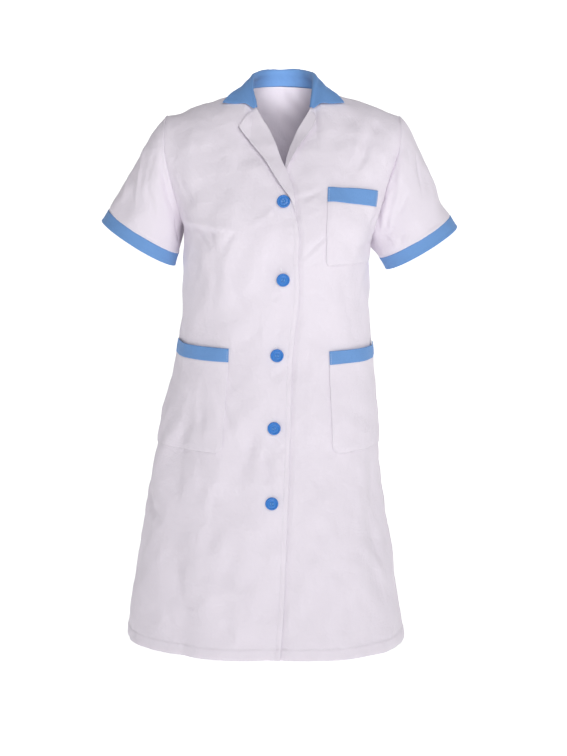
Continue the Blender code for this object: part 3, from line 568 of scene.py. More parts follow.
def fold_lines(rows, columns):
    """The rows' ends as (share, up), with bow, width and depth in metres."""
    lines = []
    for row in rows:
        fold = dict(zip(columns, row))
        top, low = (place(fold[f"x_{end}"], fold[f"z_{end}"], fold["face"]) for end in ("top", "low"))
        sizes = [fold.get(name, 0) * MM for name in ("bow", "width", "depth")]
        lines.append((fold["face"], *top, *low, *sizes))
    return lines


FOLD_LINES = fold_lines(FOLDS, FOLD_COLUMNS)
CREASE_LINES = fold_lines(CREASES, CREASE_COLUMNS)


def folds(share, up, face):
    """The part's large folds: a bell across each, fading out at its ends but not at the hem."""
    total = np.zeros(share.shape)
    for fold_face, top_share, top, low_share, low, _, width, depth in FOLD_LINES:
        if fold_face != face:
            continue
        part = (up - low) / (top - low)
        middle = low_share + (top_share - low_share) * part
        fade = ease((1 - part) / FOLD_FADE) * ease(part / FOLD_FADE + (low < HEM_REACH * MM))
        total += depth * fade * np.exp(-(((share - middle) * ROW_SPAN / width) ** 2))
    return total


def creases(across, up, lines):
    """Finer folds between (across, up) places: bells that narrow and fade to both ends and bend by bow."""
    total = np.zeros(across.shape)
    for x_top, top, x_low, low, bow, width, depth in lines:
        run, rise = x_low - x_top, low - top
        length = np.hypot(run, rise)
        t = ((across - x_top) * run + (up - top) * rise) / length**2
        off = ((across - x_top) * rise - (up - top) * run) / length - bow * 4 * t * (1 - t)
        fade = ease(t / CREASE_FADE) * ease((1 - t) / CREASE_FADE)
        total += depth * fade * np.exp(-((off / (width * (1 + fade) / 2)) ** 2))
    return total


def ripple_waves():
    """Seeded plane waves, nearly level, so that their crests stand upright: directions, heights, phases."""
    rng = np.random.default_rng(RIPPLE_SEED)
    length, height, steep = (np.repeat(column, WAVES_EACH) for column in np.array(RIPPLE).T)
    angle = rng.uniform(0, 2 * np.pi, length.size)
    tilt = rng.normal(0, 1, length.size) * steep
    way = unit(np.stack([np.cos(angle), np.sin(angle), tilt], -1)) * (2 * np.pi / (length * MM))[:, None]
    return way, height * MM / np.sqrt(WAVES_EACH), rng.uniform(0, 7, length.size)


WAVES = ripple_waves()


def ripple(points):
    """The sum of the plane waves at each point, the same on every piece, so that seams stay closed.

    Slow waves shift the phases, so that the crests bend, come and go.
    """
    way, height, phase = WAVES
    slow = np.sin(points @ np.array(SLOW_WAYS).T + SLOW_STARTS)
    shift = WANDER * slow @ np.sin(np.outer((1, 2, 3), phase))
    swell = 1 + SWELL * np.roll(shift, 3, -1) / WANDER
    return (np.sin(points @ way.T + phase + shift) * swell) @ height


def relief(share, up, face, points):
    """Heights over the form: folds, creases and ripple, less the seams' dip and the armhole's valley."""
    lines = [line[1:] for line in CREASE_LINES if line[0] == face]
    scaled = [(x0 * ROW_SPAN, z0, x1 * ROW_SPAN, z1, *sizes) for x0, z0, x1, z1, *sizes in lines]
    side_off = (1 - np.abs(share)) * ROW_SPAN / MM
    top_off = (TOP - up) / MM
    seam = ease((np.abs(share) - SHOULDER_START) / (NECK_SHARE - SHOULDER_START))
    made = folds(share, up, face) + creases(share * ROW_SPAN, up, scaled)
    made *= ease(side_off / RELIEF_SEAM) * (1 - seam * (1 - ease(top_off / RELIEF_SEAM)))
    dip = SIDE_DIP_DEPTH * np.exp(-((side_off / SEAM_DIP) ** 2))
    dip = dip + TOP_DIP_DEPTH * seam * np.exp(-((top_off / SEAM_DIP) ** 2))
    arm = np.clip((up - ARMPIT) / (TOP - ARMPIT), 0, 1)
    valley = np.where(share < 0, ARM_VALLEY[-1], ARM_VALLEY[1])
    valley = valley * np.sin(np.pi * arm) ** 0.8 * np.exp(-((side_off / ARM_VALLEY_WIDTH) ** 2))
    return made + ripple(points) - (dip + valley) * MM


def cloth_at(share, up, face):
    """Points of the creased cloth's outer face, and the form's normals there."""
    base, normal = form(share, up, face), normals(share, up, face)
    return base + normal * relief(share, up, face, base)[..., None], normal


print("ripple waves:", len(WAVES[1]), "- the deepest fold:", min(row[-1] for row in FOLDS), "mm")

# %% [markdown]
# ## Sewn edges
# A hem or a front edge is turned in and stitched. Near the stitches the cloth dips, and small puckers cross
# them at uneven spacing. Between the stitches and the edge it is a little fuller. A bump map could shade
# this, but real height also shows in the outline of the edge and under the light from the side.

# %% Hems, grooves and puckers
CLOTH = 0.9
TURNED = 1.45
HEM_STITCH = 21.0
EDGE_STITCH = 9.0
HEM_FULL = 0.9
EDGE_FULL = 0.5
GROOVE = 0.5
GROOVE_WIDTH = 1.1
PUCKER = 0.3
HEM_PUCKER = 0.8
PUCKER_PITCH = 11.0
PUCKER_REACH = 6.0
# The turned part is full from the edge, where it starts at TURN_START, to TURN_END times the stitches' width.
TURN_START = 0.3
TURN_END = 1.15
TURN_RAMP = 0.3


def stitched(off, run, seed, puckered=PUCKER):
    """The groove and puckers near stitches. off is the distance from them and run the distance along.

    Slow sines, different for each seed, bring the puckers closer or apart and make them higher or lower.
    """
    off, run = off / MM, run / MM
    phase = run / PUCKER_PITCH + 0.35 * np.sin(run / 17 + seed) + 0.22 * np.sin(run / 7.3 + 2 * seed)
    strength = 0.55 + 0.45 * np.sin(run / 31 + seed)
    pucker = puckered * np.sin(2 * np.pi * phase) * strength * np.exp(-((off / PUCKER_REACH) ** 2))
    return (pucker - GROOVE * np.exp(-((off / GROOVE_WIDTH) ** 2))) * MM


def turned_edge(inside, run, width, seed, full, puckered=PUCKER):
    """Relief of a turned edge: inside is the distance in from the edge, and the stitches are at width."""
    inner = np.clip(inside / (width * MM), 0, TURN_END)
    raised = full * MM * ease((TURN_END - inner) / TURN_RAMP) * ease(TURN_START + inner / TURN_RAMP)
    return raised + stitched(inside - width * MM, run, seed, puckered)


# Where each front's edge breaks into its lapel, as (x, z), and how far below that its stitches fade in.
BREAKS = {-1: (0, -158), 1: (9, -118)}
BREAK_UP = {side: place(*spot)[1] for side, spot in BREAKS.items()}
BREAK_FADE = 30.0
# The left front is pushed in by LAP_STEP under the right one, until LAP_END beyond the right one's edge.
LAP_STEP = 2.4
LAP_END = 10.0
LAP_RAMP = 9.0


def under_lap(share, up):
    """How far the left front is pushed in to lie under the right one."""
    past = (share - front_edge(up, -1)) * span(up, 1, -1)
    return -LAP_STEP * MM * ease((LAP_END * MM - past) / (LAP_RAMP * MM))


def front_at(share, up, side):
    """A front's outer face with its hem, its front edge and its lap, and its normals."""
    points, normal = cloth_at(share, up, -1)
    length = span(up, side, -1)
    inside = side * (share - front_edge(up, side)) * length
    below_break = ease((BREAK_UP[side] - up) / (BREAK_FADE * MM))
    out = turned_edge(up, share * length, HEM_STITCH, 1.0, HEM_FULL, HEM_PUCKER)
    out = out + turned_edge(inside, up, EDGE_STITCH, 4.0 + side, EDGE_FULL) * below_break
    if side > 0:
        out = out + under_lap(share, up)
    return points + normal * out[..., None], normal


def back_at(share, up):
    """The back's outer face with its hem, and its normals."""
    points, normal = cloth_at(share, up, 1)
    length = np.where(share < 0, span(up, -1, 1), span(up, 1, 1))
    out = turned_edge(up, share * length, HEM_STITCH, 2.0, HEM_FULL, HEM_PUCKER)
    return points + normal * out[..., None], normal


print("break points:", {side: round(float(up), 3) for side, up in BREAK_UP.items()}, "m up")

# %% [markdown]
# ## Materials
# The cloths are a white and a blue poplin in plain weave, the thread matches them, and the buttons are blue
# and moulded. A photographed texture would bring its own light and would repeat, so three node groups make
# the cloth's surface by formula: the weave, a soft unevenness of tone, and a fine crumple. The shader stays
# in the material.

# %% Node groups
def new_group(name, inputs, outputs):
    """An empty node group with named sockets. inputs and outputs are (name, kind, default) rows."""
    group = bpy.data.node_groups.new(name, "ShaderNodeTree")
    for rows, way in ((inputs, "INPUT"), (outputs, "OUTPUT")):
        for socket_name, kind, default in rows:
            socket = group.interface.new_socket(socket_name, in_out=way, socket_type=f"NodeSocket{kind}")
            if default is not None:
                socket.default_value = default
    return group, group.nodes.new("NodeGroupInput"), group.nodes.new("NodeGroupOutput")


def feed(links, value, socket):
    """Links a socket's value on, or sets a number."""
    if isinstance(value, bpy.types.NodeSocket):
        links.new(value, socket)
    elif value is not None:
        socket.default_value = value


def math(nodes, links, operation, first, second=None):
    """A Math node whose inputs are numbers or sockets; returns its output."""
    node = nodes.new("ShaderNodeMath")
    node.operation = operation
    feed(links, first, node.inputs[0])
    feed(links, second, node.inputs[1])
    return node.outputs[0]


def noise(nodes, links, place_at, scale, detail, twist=0.0):
    """Noise over a place, with a number or a socket as its scale; returns its value."""
    node = nodes.new("ShaderNodeTexNoise")
    node.inputs["Detail"].default_value = detail
    node.inputs["Distortion"].default_value = twist
    links.new(place_at, node.inputs["Vector"])
    feed(links, scale, node.inputs["Scale"])
    return node.outputs[0]


# Noise stretched along the yarns of each way, the noise of the tone, and (times the crumple's scale, detail,
# twist) for its creases, its finer creases and where those show.
YARN_STRETCHES = ((700, 22, 1), (22, 700, 1))
TONE_SCALE = 7.0
TONE_DETAIL = 3.0
CRUMPLE_LAYERS = ((1.0, 4.0, 0.8), (3.1, 3.0, 1.2), (0.25, 1.0, 0.0))


def weave_group():
    """Plain weave from UV: its height is sine across times sine along, with yarns varied by noise."""
    group, given, made = new_group(
        "plain_weave",
        [("UV", "Vector", None), ("Yarns per metre", "Float", 2200.0), ("Unevenness", "Float", 0.5)],
        [("Height", "Float", None), ("Yarn tone", "Float", None)])
    nodes, links = group.nodes, group.links
    split = nodes.new("ShaderNodeSeparateXYZ")
    links.new(given.outputs["UV"], split.inputs[0])
    turns = math(nodes, links, "MULTIPLY", given.outputs["Yarns per metre"], np.pi)
    angles = [math(nodes, links, "MULTIPLY", split.outputs[i], turns) for i in (0, 1)]
    woven = math(nodes, links, "MULTIPLY", *(math(nodes, links, "SINE", angle) for angle in angles))
    yarns = []
    for stretch in YARN_STRETCHES:
        scale = nodes.new("ShaderNodeVectorMath")
        scale.operation = "MULTIPLY"
        links.new(given.outputs["UV"], scale.inputs[0])
        scale.inputs[1].default_value = stretch
        yarns.append(noise(nodes, links, scale.outputs[0], 1.0, 1.0))
    both = math(nodes, links, "ADD", *yarns)
    uneven = math(nodes, links, "MULTIPLY", both, given.outputs["Unevenness"])
    links.new(math(nodes, links, "ADD", woven, uneven), made.inputs["Height"])
    links.new(math(nodes, links, "SUBTRACT", both, 1.0), made.inputs["Yarn tone"])
    return group


def tone_group():
    """A colour made a little lighter or darker by soft noise over the cloth and by a second tone."""
    group, given, made = new_group(
        "soft_tone",
        [("Place", "Vector", None), ("Colour", "Color", (1, 1, 1, 1)), ("Tone", "Float", 0.0),
         ("Amount", "Float", 0.03)],
        [("Colour", "Color", None)])
    nodes, links = group.nodes, group.links
    soft = noise(nodes, links, given.outputs["Place"], TONE_SCALE, TONE_DETAIL)
    soft = math(nodes, links, "SUBTRACT", soft, 0.5)
    both = math(nodes, links, "ADD", soft, math(nodes, links, "MULTIPLY", given.outputs["Tone"], 0.5))
    factor = math(nodes, links, "ADD", math(nodes, links, "MULTIPLY", both, given.outputs["Amount"]), 1.0)
    scale = nodes.new("ShaderNodeVectorMath")
    scale.operation = "SCALE"
    links.new(given.outputs["Colour"], scale.inputs[0])
    links.new(factor, scale.inputs["Scale"])
    links.new(scale.outputs[0], made.inputs["Colour"])
    return group


def crumple_group():
    """Small uneven creases as a height: twisted noise, and finer noise where a slow one lets it through."""
    group, given, made = new_group(
        "crumple",
        [("Place", "Vector", None), ("Creases per metre", "Float", 30.0)],
        [("Height", "Float", None)])
    nodes, links = group.nodes, group.links
    layers = []
    for times, detail, twist in CRUMPLE_LAYERS:
        scale = math(nodes, links, "MULTIPLY", given.outputs["Creases per metre"], times)
        layers.append(noise(nodes, links, given.outputs["Place"], scale, detail, twist))
    fine = math(nodes, links, "MULTIPLY", layers[1], math(nodes, links, "MULTIPLY", layers[2], 0.5))
    links.new(math(nodes, links, "ADD", layers[0], fine), made.inputs["Height"])
    return group


WEAVE, TONE, CRUMPLE = weave_group(), tone_group(), crumple_group()
print("node groups:", WEAVE.name, TONE.name, CRUMPLE.name)

# %% Materials
# How strongly each height bumps the cloth, and how many metres a height of 1 stands for.
CRUMPLE_BUMP = (0.8, 0.0024)
WEAVE_BUMP = (0.35, 0.00012)


def plain_material(name, colour, roughness, **sockets):
    """A Principled material with its constants on the shader's own sockets."""
    material = bpy.data.materials.new(name)
    material.use_nodes = True
    shader = material.node_tree.nodes["Principled BSDF"]
    shader.inputs["Base Color"].default_value = (*colour, 1)
    shader.inputs["Roughness"].default_value = roughness
    for socket, value in sockets.items():
        shader.inputs[socket.replace("_", " ")].default_value = value
    return material


def cloth_material(name, colour, roughness=0.9, **sockets):
    """Plain woven cloth: the tone group colours it, and the weave and crumple groups bump it."""
    material = plain_material(name, colour, roughness, **sockets)
    nodes, links = material.node_tree.nodes, material.node_tree.links
    shader = nodes["Principled BSDF"]
    uv, where = nodes.new("ShaderNodeUVMap"), nodes.new("ShaderNodeTexCoord")
    weave, tone, crumple = (nodes.new("ShaderNodeGroup") for _ in range(3))
    weave.node_tree, tone.node_tree, crumple.node_tree = WEAVE, TONE, CRUMPLE
    tone.inputs["Colour"].default_value = (*colour, 1)
    links.new(uv.outputs[0], weave.inputs["UV"])
    links.new(where.outputs["Object"], tone.inputs["Place"])
    links.new(weave.outputs["Yarn tone"], tone.inputs["Tone"])
    links.new(tone.outputs[0], shader.inputs["Base Color"])
    links.new(where.outputs["Object"], crumple.inputs["Place"])
    under = None
    for group, (strength, distance) in ((crumple, CRUMPLE_BUMP), (weave, WEAVE_BUMP)):
        bump = nodes.new("ShaderNodeBump")
        bump.inputs["Strength"].default_value = strength
        bump.inputs["Distance"].default_value = distance
        links.new(group.outputs["Height"], bump.inputs["Height"])
        if under:
            links.new(under, bump.inputs["Normal"])
        under = bump.outputs[0]
    links.new(under, shader.inputs["Normal"])
    return material


WHITE = cloth_material("white_cloth", (0.80, 0.745, 0.822), Sheen_Weight=0.1, Sheen_Roughness=0.5)
BLUE = cloth_material("blue_cloth", (0.15, 0.318, 0.645), Sheen_Weight=0.1, Sheen_Roughness=0.5)
BUTTON = plain_material("blue_button", (0.022, 0.19, 0.60), 0.3, Coat_Weight=0.15, Coat_Roughness=0.2)
WHITE_THREAD = plain_material("white_thread", (0.82, 0.79, 0.85), 0.7, Sheen_Weight=0.3)
BLUE_THREAD = plain_material("blue_thread", (0.16, 0.40, 0.76), 0.7, Sheen_Weight=0.3)
print("materials:", len(bpy.data.materials))

# %% [markdown]
# ## Shells
# Real cloth has a thickness that shows at its edges. A Solidify modifier could add it, but the hem and the
# front edges are thicker than the rest. So every piece of cloth is a closed shell: an outer grid, an inner
# grid set back by the thickness, and a rounded rim along its open edges. Rows go up and columns go right,
# seen from outside.

# %% Mesh builders
RIM_BULGE = 0.35


def new_mesh(name, points, quads, uv, material):
    """A smooth quad mesh from whole arrays, which rides on the garment's one body."""
    mesh = bpy.data.meshes.new(name)
    mesh.vertices.add(len(points))
    mesh.vertices.foreach_set("co", points.ravel().astype(np.float32))
    mesh.loops.add(quads.size)
    mesh.loops.foreach_set("vertex_index", quads.ravel().astype(np.int32))
    mesh.polygons.add(len(quads))
    mesh.polygons.foreach_set("loop_start", (np.arange(len(quads)) * quads.shape[1]).astype(np.int32))
    layer = mesh.uv_layers.new(name="UVMap")
    layer.data.foreach_set("uv", uv[quads.ravel()].ravel().astype(np.float32))
    mesh.polygons.foreach_set("use_smooth", np.ones(len(quads), bool))
    mesh.update(calc_edges=True)
    mesh.validate()
    mesh.materials.append(material)
    thing = bpy.data.objects.new(name, mesh)
    bpy.context.scene.collection.objects.link(thing)
    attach(thing, "root")
    return thing


def grid_normals(grid, ring=False):
    """Unit normals of a grid: right cross up, by central differences."""
    if ring:
        padded = np.concatenate([grid[:, -1:], grid, grid[:, :1]], axis=1)
        right = (padded[:, 2:] - padded[:, :-2]) / 2
    else:
        right = np.gradient(grid, axis=1)
    return unit(np.cross(right, np.gradient(grid, axis=0)))


def grid_quads(number, ring=False):
    """Quads between neighbouring points of a grid of vertex numbers."""
    if ring:
        number = np.concatenate([number, number[:, :1]], axis=1)
    corners = number[:-1, :-1], number[:-1, 1:], number[1:, 1:], number[1:, :-1]
    return np.stack([corner.ravel() for corner in corners], -1)


def rim_loops(number, ring):
    """The open border of a grid as loops of vertex numbers, to the right along the lowest row."""
    if ring:
        return [number[0], number[-1, ::-1]]
    return [np.concatenate([number[0, :-1], number[:-1, -1], number[-1, :0:-1], number[:0:-1, 0]])]


def shell(name, outer, thick, across, up, material, ring=False):
    """A closed shell under an outer grid. across and up are the cloth's own coordinates in metres, for UV."""
    normal = grid_normals(outer, ring)
    thick = np.broadcast_to(np.asarray(thick, float) * MM, outer.shape[:2])[..., None]
    inner = outer - normal * thick
    count = outer[..., 0].size
    number = np.arange(count).reshape(outer.shape[:2])
    quads = [grid_quads(number, ring), grid_quads(number + count, ring)[:, ::-1]]
    points, uv = [outer.reshape(-1, 3), inner.reshape(-1, 3)], np.stack([across.ravel(), up.ravel()], -1)
    uvs, used = [uv, uv], 2 * count
    for loop in rim_loops(number, ring):
        edge, back = points[0][loop], points[1][loop]
        step = np.roll(edge, -1, axis=0) - np.roll(edge, 1, axis=0)
        outward = unit(np.cross(step, normal.reshape(-1, 3)[loop]))
        depth = np.linalg.norm(edge - back, axis=1, keepdims=True)
        points.append((edge + back) / 2 + outward * depth * RIM_BULGE)
        uvs.append(uv[loop])
        middle = used + np.arange(len(loop))
        used += len(loop)
        for near, far in ((middle, loop), (loop + count, middle)):
            quads.append(np.stack([near, np.roll(near, -1), np.roll(far, -1), far], -1))
    return new_mesh(name, np.concatenate(points), np.concatenate(quads), np.concatenate(uvs), material)


def stand_for(thing, outer, node, ring=False):
    """Replaces a CAD node with a cloth piece, and states its flat cut: its widest row by its length."""
    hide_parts(node)
    closed = np.concatenate([outer, outer[:, :1]], axis=1) if ring else outer
    right, upward = np.diff(closed, axis=1), np.diff(closed, axis=0)
    width = np.linalg.norm(right, axis=2).sum(axis=1).max()
    length = np.linalg.norm(upward, axis=2).sum(axis=0).max()
    area = np.linalg.norm(np.cross(right[:-1], upward[:, :-1]), axis=2).sum()
    area = float(min(area, width * length))
    print(f"{node}: flat {width:.3f} x {length:.3f} m, {area:.4f} m2, {len(thing.data.polygons)} quads")


print("mesh builders are ready, with a rim that stands out", RIM_BULGE, "of the thickness")

# %% [markdown]
# ## Fronts and back
# Each front is one piece with its turned edge and hem, and the left one lies under the right. A mesh refined
# all over by a modifier would spend its faces evenly. These grids are closest at the hem and at the edges,
# where the sewing is, and wider between.

# %% Fronts and back
CLOSE_IN = np.arange(0, 13) * MM
CLOSE_OUT = np.array([9, 7, 5, 3.5, 2.2, 1, 0]) * MM
HEM_ROWS = np.arange(0, 26, 1.5) * MM
TOP_ROWS = np.array([6, 4.2, 2.6, 1.2, 0]) * MM
# Rows are even from EVEN_FROM above the hem to EVEN_TO below the top.
EVEN_FROM = 26.0
EVEN_TO = 8.0
ROW_STEP = 3.5
FRONT_COLUMNS = 82
HALF_BACK_COLUMNS = 70
# The cloth gets thinner over THICK_RAMP before the stitches. FAR_INSIDE, in metres, is far from any edge.
THICK_RAMP = 2.0
FAR_INSIDE = 1.0


def body_rows():
    """Heights up the cloth: close at the hem, then even, then close to the top."""
    count = int((TOP - (EVEN_FROM + EVEN_TO) * MM) / (ROW_STEP * MM))
    even = np.linspace(EVEN_FROM * MM, TOP - EVEN_TO * MM, count)
    return np.concatenate([HEM_ROWS, even, TOP - TOP_ROWS])


def spread_columns(total, near, far, count):
    """Distances from one end to the other: near's own, count even steps, and far's, for each row."""
    even = np.linspace(0, 1, count + 2)[1:-1]
    start, end = near[-1], total[:, None] - far[0]
    middle = start + (end - start) * even
    first = np.broadcast_to(near, (len(total), len(near)))
    return np.concatenate([first, middle, total[:, None] - far], axis=1)


def front_grid(side):
    """share and up of one front's grid, from its edge or roll line to the side seam."""
    up = body_rows()
    edge, length = front_edge(up, side), span(up, side, -1)
    inside = spread_columns((1 - side * edge) * length, CLOSE_IN, CLOSE_OUT, FRONT_COLUMNS)
    share = edge[:, None] + side * inside / length[:, None]
    share[:, -1] = side
    return share, np.broadcast_to(up[:, None], share.shape)


def thickness(up, inside):
    """The cloth's thickness: more where the hem or the front edge is turned in."""
    at_hem, at_edge = HEM_STITCH - up / MM, EDGE_STITCH - inside / MM
    return CLOTH + (TURNED - CLOTH) * ease(np.maximum(at_hem, at_edge) / THICK_RAMP)


def make_front(name, side):
    """One front, to the side seam, armhole and shoulder seam."""
    share, up = front_grid(side)
    outer = front_at(share, up, side)[0]
    length = span(up, side, -1)
    inside = side * (share - front_edge(up, side)) * length
    thick = thickness(up, np.where(up < BREAK_UP[side], inside, FAR_INSIDE))
    if side < 0:
        share, up, outer, thick = share[:, ::-1], up[:, ::-1], outer[:, ::-1], thick[:, ::-1]
    thing = shell(f"{name}_cloth", outer, thick, share * length, up, WHITE)
    stand_for(thing, outer, name)


def make_back():
    """The back in one piece, with its columns running right as seen from behind."""
    up = body_rows()
    halves = []
    for side in (1, -1):
        length = span(up, side, 1)
        inside = spread_columns(length, np.zeros(1), CLOSE_OUT, HALF_BACK_COLUMNS)
        halves.append(side * inside / length[:, None])
        halves[-1][:, -1] = side
    share = np.concatenate([halves[0][:, ::-1], halves[1][:, 1:]], axis=1)
    up = np.broadcast_to(up[:, None], share.shape)
    outer = back_at(share, up)[0]
    length = np.where(share < 0, span(up, -1, 1), span(up, 1, 1))
    thing = shell("back_cloth", outer, thickness(up, FAR_INSIDE), share * length, up, WHITE)
    stand_for(thing, outer, "back")


make_front("front_right", -1)
make_front("front_left", 1)
make_back()

# %% [markdown]
# ## Sleeves and cuffs
# A set-in sleeve is sewn round the armhole and ends in a blue band. It could be a bent tube set into the
# body, but then its seam would be a cut and not an edge. It is lofted from the armhole's own points to the
# cuff's upper edge, so the seam closes exactly, and its creases are looked up on its own grid.

# %% Sleeves and cuffs
SLEEVE_ROWS = 64
HALF_RING = 84
# Creases fade out this far from the armhole and from the cuff. The cloth dips below the armhole's seam, and
# the seam that joins the cuff is CUFF_SEAM under its edge.
SLEEVE_FADE = (5.0, 8.0)
ARM_SEAM_DIP = dict(depth=0.5, at=2.5, width=2.2)
CUFF_SEAM = 1.5
CUFF_ROWS = 14
CUFF_LIFT = 0.4
CUFF_PUFF = 0.35
CUFF_WALL = 1.7
CUFF_STITCH = 2.0


def cuff_ring(cuff, prefix, turn):
    """Points round one edge of a cuff: an ellipse, a little lower at the front. turn 0 is the inside."""
    outer = np.array([cuff[prefix + "out_x"], 0, cuff[prefix + "out_z"]])
    inner = np.array([cuff[prefix + "in_x"], 0, cuff[prefix + "in_z"]])
    middle = (outer + inner) / 2
    depth = np.array([0, -CUFF_DEPTH / 2, -CUFF_FRONT_DROP])
    return (middle + np.outer(np.cos(turn), inner - middle) + np.outer(np.sin(turn), depth)) * MM


def armhole(side):
    """The armhole, up the front and down the back, and the sleeve's direction and fullness at each point."""
    up = np.linspace(ARMPIT, TOP, HALF_RING + 1)
    front = cloth_at(np.full_like(up, side), up, -1)[0]
    back = cloth_at(np.full_like(up, side), up, 1)[0]
    loop = np.concatenate([front, back[-2:0:-1]])
    high = (loop[:, 2] - loop[0, 2]) / (front[-1, 2] - loop[0, 2])
    face = np.concatenate([np.full(len(front), -1), np.full(len(back) - 2, 1)])
    bulge = np.sin(np.pi * np.clip(high, 0, 1))
    leave = np.outer(1 - high, SLEEVE_LOW) + np.outer(high, SLEEVE_HIGH)
    leave = np.stack([side * leave[:, 0], face * SLEEVE_BULGE * bulge, leave[:, 1]], -1)
    return loop, unit(leave), (1 - SLEEVE_SLACK * high)[:, None]


def ring_turns(loop):
    """The cuff's turn for each point of the armhole, by distance round it: half a turn to the shoulder."""
    half = len(loop) // 2
    up_front = distances(loop[: half + 1])
    down_back = distances(np.concatenate([loop[half:], loop[:1]]))
    turns = up_front / up_front[-1], 1 + down_back[1:-1] / down_back[-1]
    return np.pi * np.concatenate(turns)


def sleeve_grid(cuff):
    """The sleeve's smooth grid from the armhole down, the cuff's two edges and the turn round them."""
    loop, leave, full = armhole(int(cuff["side"]))
    turn = ring_turns(loop)
    upper, lower = cuff_ring(cuff, "", turn), cuff_ring(cuff, "low_", turn)
    arrive = unit(lower - upper)
    reach = np.linalg.norm(upper - loop, axis=1, keepdims=True)
    v = np.linspace(0, 1, SLEEVE_ROWS + 1)[:, None, None]
    grid = (2 * v**3 - 3 * v**2 + 1) * loop + (v**3 - 2 * v**2 + v) * leave * reach * full
    return grid + (3 * v**2 - 2 * v**3) * upper + (v**3 - v**2) * arrive * reach, upper, lower, turn


def sleeve_lines(side, grid, around, down):
    """This sleeve's creases with their ends as (around, down), each at the nearest point of its own half."""
    half = grid.shape[1] // 2
    lines = []
    for row in SLEEVE_CREASES:
        crease = dict(zip(SLEEVE_COLUMNS, row))
        if crease["side"] != side:
            continue
        part = slice(0, half + 1) if crease["face"] < 0 else slice(half, None)
        ends = []
        for end in ("top", "low"):
            wanted = np.array([crease[f"x_{end}"], crease[f"z_{end}"]]) * MM
            off = ((grid[:, part, ::2] - wanted) ** 2).sum(axis=-1)
            spot = np.unravel_index(np.argmin(off), off.shape)
            ends += [around[:, part][spot], down[:, part][spot]]
        lines.append((*ends, *(crease[name] * MM for name in ("bow", "width", "depth"))))
    return lines


def facing_out(grid, side):
    """A sleeve's grid with its rows turned to go up and its columns to go right, seen from outside."""
    return grid[::-1, ::-1] if side > 0 else grid[::-1]


def make_sleeve(word, cuff):
    """A sleeve, and its cuff. Returns the cuff's grid, for its stitches."""
    side = int(cuff["side"])
    grid, upper, lower, turn = sleeve_grid(cuff)
    girth = distances(grid[len(grid) // 2])[-1]
    down = distances(grid)
    around = np.broadcast_to(turn / (2 * np.pi) * girth, down.shape)
    left = down[-1] - down
    ends = ease(down / (SLEEVE_FADE[0] * MM)) * ease(left / (SLEEVE_FADE[1] * MM))
    out = (creases(around, down, sleeve_lines(side, grid, around, down)) + ripple(grid)) * ends
    from_dip = (down / MM - ARM_SEAM_DIP["at"]) / ARM_SEAM_DIP["width"]
    out = out - ARM_SEAM_DIP["depth"] * MM * np.exp(-(from_dip**2))
    out = out + stitched(left + CUFF_SEAM * MM, around, 3.0 + side) * 0.7
    grid, out, wide, down = (facing_out(each, side) for each in (grid, out, around, down))
    outer = grid + grid_normals(grid, ring=True) * out[..., None]
    thing = shell(f"sleeve_{word}_cloth", outer, CLOTH, wide, -down, WHITE, ring=True)
    stand_for(thing, outer, f"sleeve_{word}", ring=True)
    return make_cuff(word, side, upper, lower, facing_out(around[: CUFF_ROWS + 1], side))


def make_cuff(word, side, upper, lower, wide):
    """A cuff band between its two edges, fuller between its stitches. Returns its grid."""
    v = np.linspace(0, 1, CUFF_ROWS + 1)[:, None, None]
    band = facing_out(upper + (lower - upper) * v, side)
    deep = np.linalg.norm(lower - upper, axis=1).mean()
    v = v[::-1, :, 0]
    out = (CUFF_LIFT + CUFF_PUFF * np.sin(np.pi * v) ** 0.6) * MM
    out = out + 0.5 * stitched((1 - v) * deep - CUFF_STITCH * MM, wide, 5.0)
    out = out + 0.6 * stitched(v * deep - CUFF_STITCH * MM, wide, 6.0)
    band = band + grid_normals(band, ring=True) * (out + 0.4 * ripple(band))[..., None]
    up = (1 - v) * deep + 0 * wide
    thing = shell(f"cuff_{word}_cloth", band, CUFF_WALL, wide, up, BLUE, ring=True)
    stand_for(thing, band, f"cuff_{word}", ring=True)
    return band


CUFF_BANDS = {}
for word, row in zip(("right", "left"), CUFFS):
    CUFF_BANDS[word] = make_sleeve(word, dict(zip(CUFF_COLUMNS, row)))

# %% [markdown]
# ## Collar and lapels
# A turned-down collar goes up its stand, over the roll line and down the fall. It could be folded from a flat
# piece, but its look is in the height and the roundness of the roll, so splines go through a section at each
# station. A lapel is the front turned over at its roll line: a small half round, then the cloth lying out
# over the front and lifting off it. It is laid on the front's own relief, so that it follows its folds.

# %% Collar
COLLAR_LENGTHS = 130
COLLAR_SECTION = 60
COLLAR_WALL = 1.5
COLLAR_STITCH = 5.0
# The roll's radius is at most FOLD_MOST of the stand. The fall passes the parts FALL_AT of its curve, and
# clears the stand by CLEAR_LOSS less at the collar's ends.
FOLD_MOST = 0.42
FALL_AT = (0.42, 0.7)
CLEAR_LOSS = 0.8
# The end's stitches fade out between these distances from the collar's outer edge.
END_STITCHES = (22.0, 30.0)



def collar_stations():
    """The seam, roll line and outer edge at each station of the left half, as three arrays."""
    seam, roll, edge = [], [], []
    for row in COLLAR_STATIONS:
        station = dict(zip(COLLAR_COLUMNS, row))
        sewn = form(np.array([station["seam"]]), np.array([TOP]), station["face"])[0]
        seam.append(sewn + (0, 0, COLLAR_RISE[station["face"]] * MM))
        roll.append(np.array([station[name] for name in ("roll_x", "roll_y", "roll_z")]) * MM)
        spot = np.array([station["edge"]]), np.array([TOP - station["drop"] * MM])
        points, normal = form(*spot, station["edge_face"]), normals(*spot, station["edge_face"])
        edge.append(points[0] + normal[0] * COLLAR_LIFT * MM)
    return np.array(seam), np.array(roll), np.array(edge)


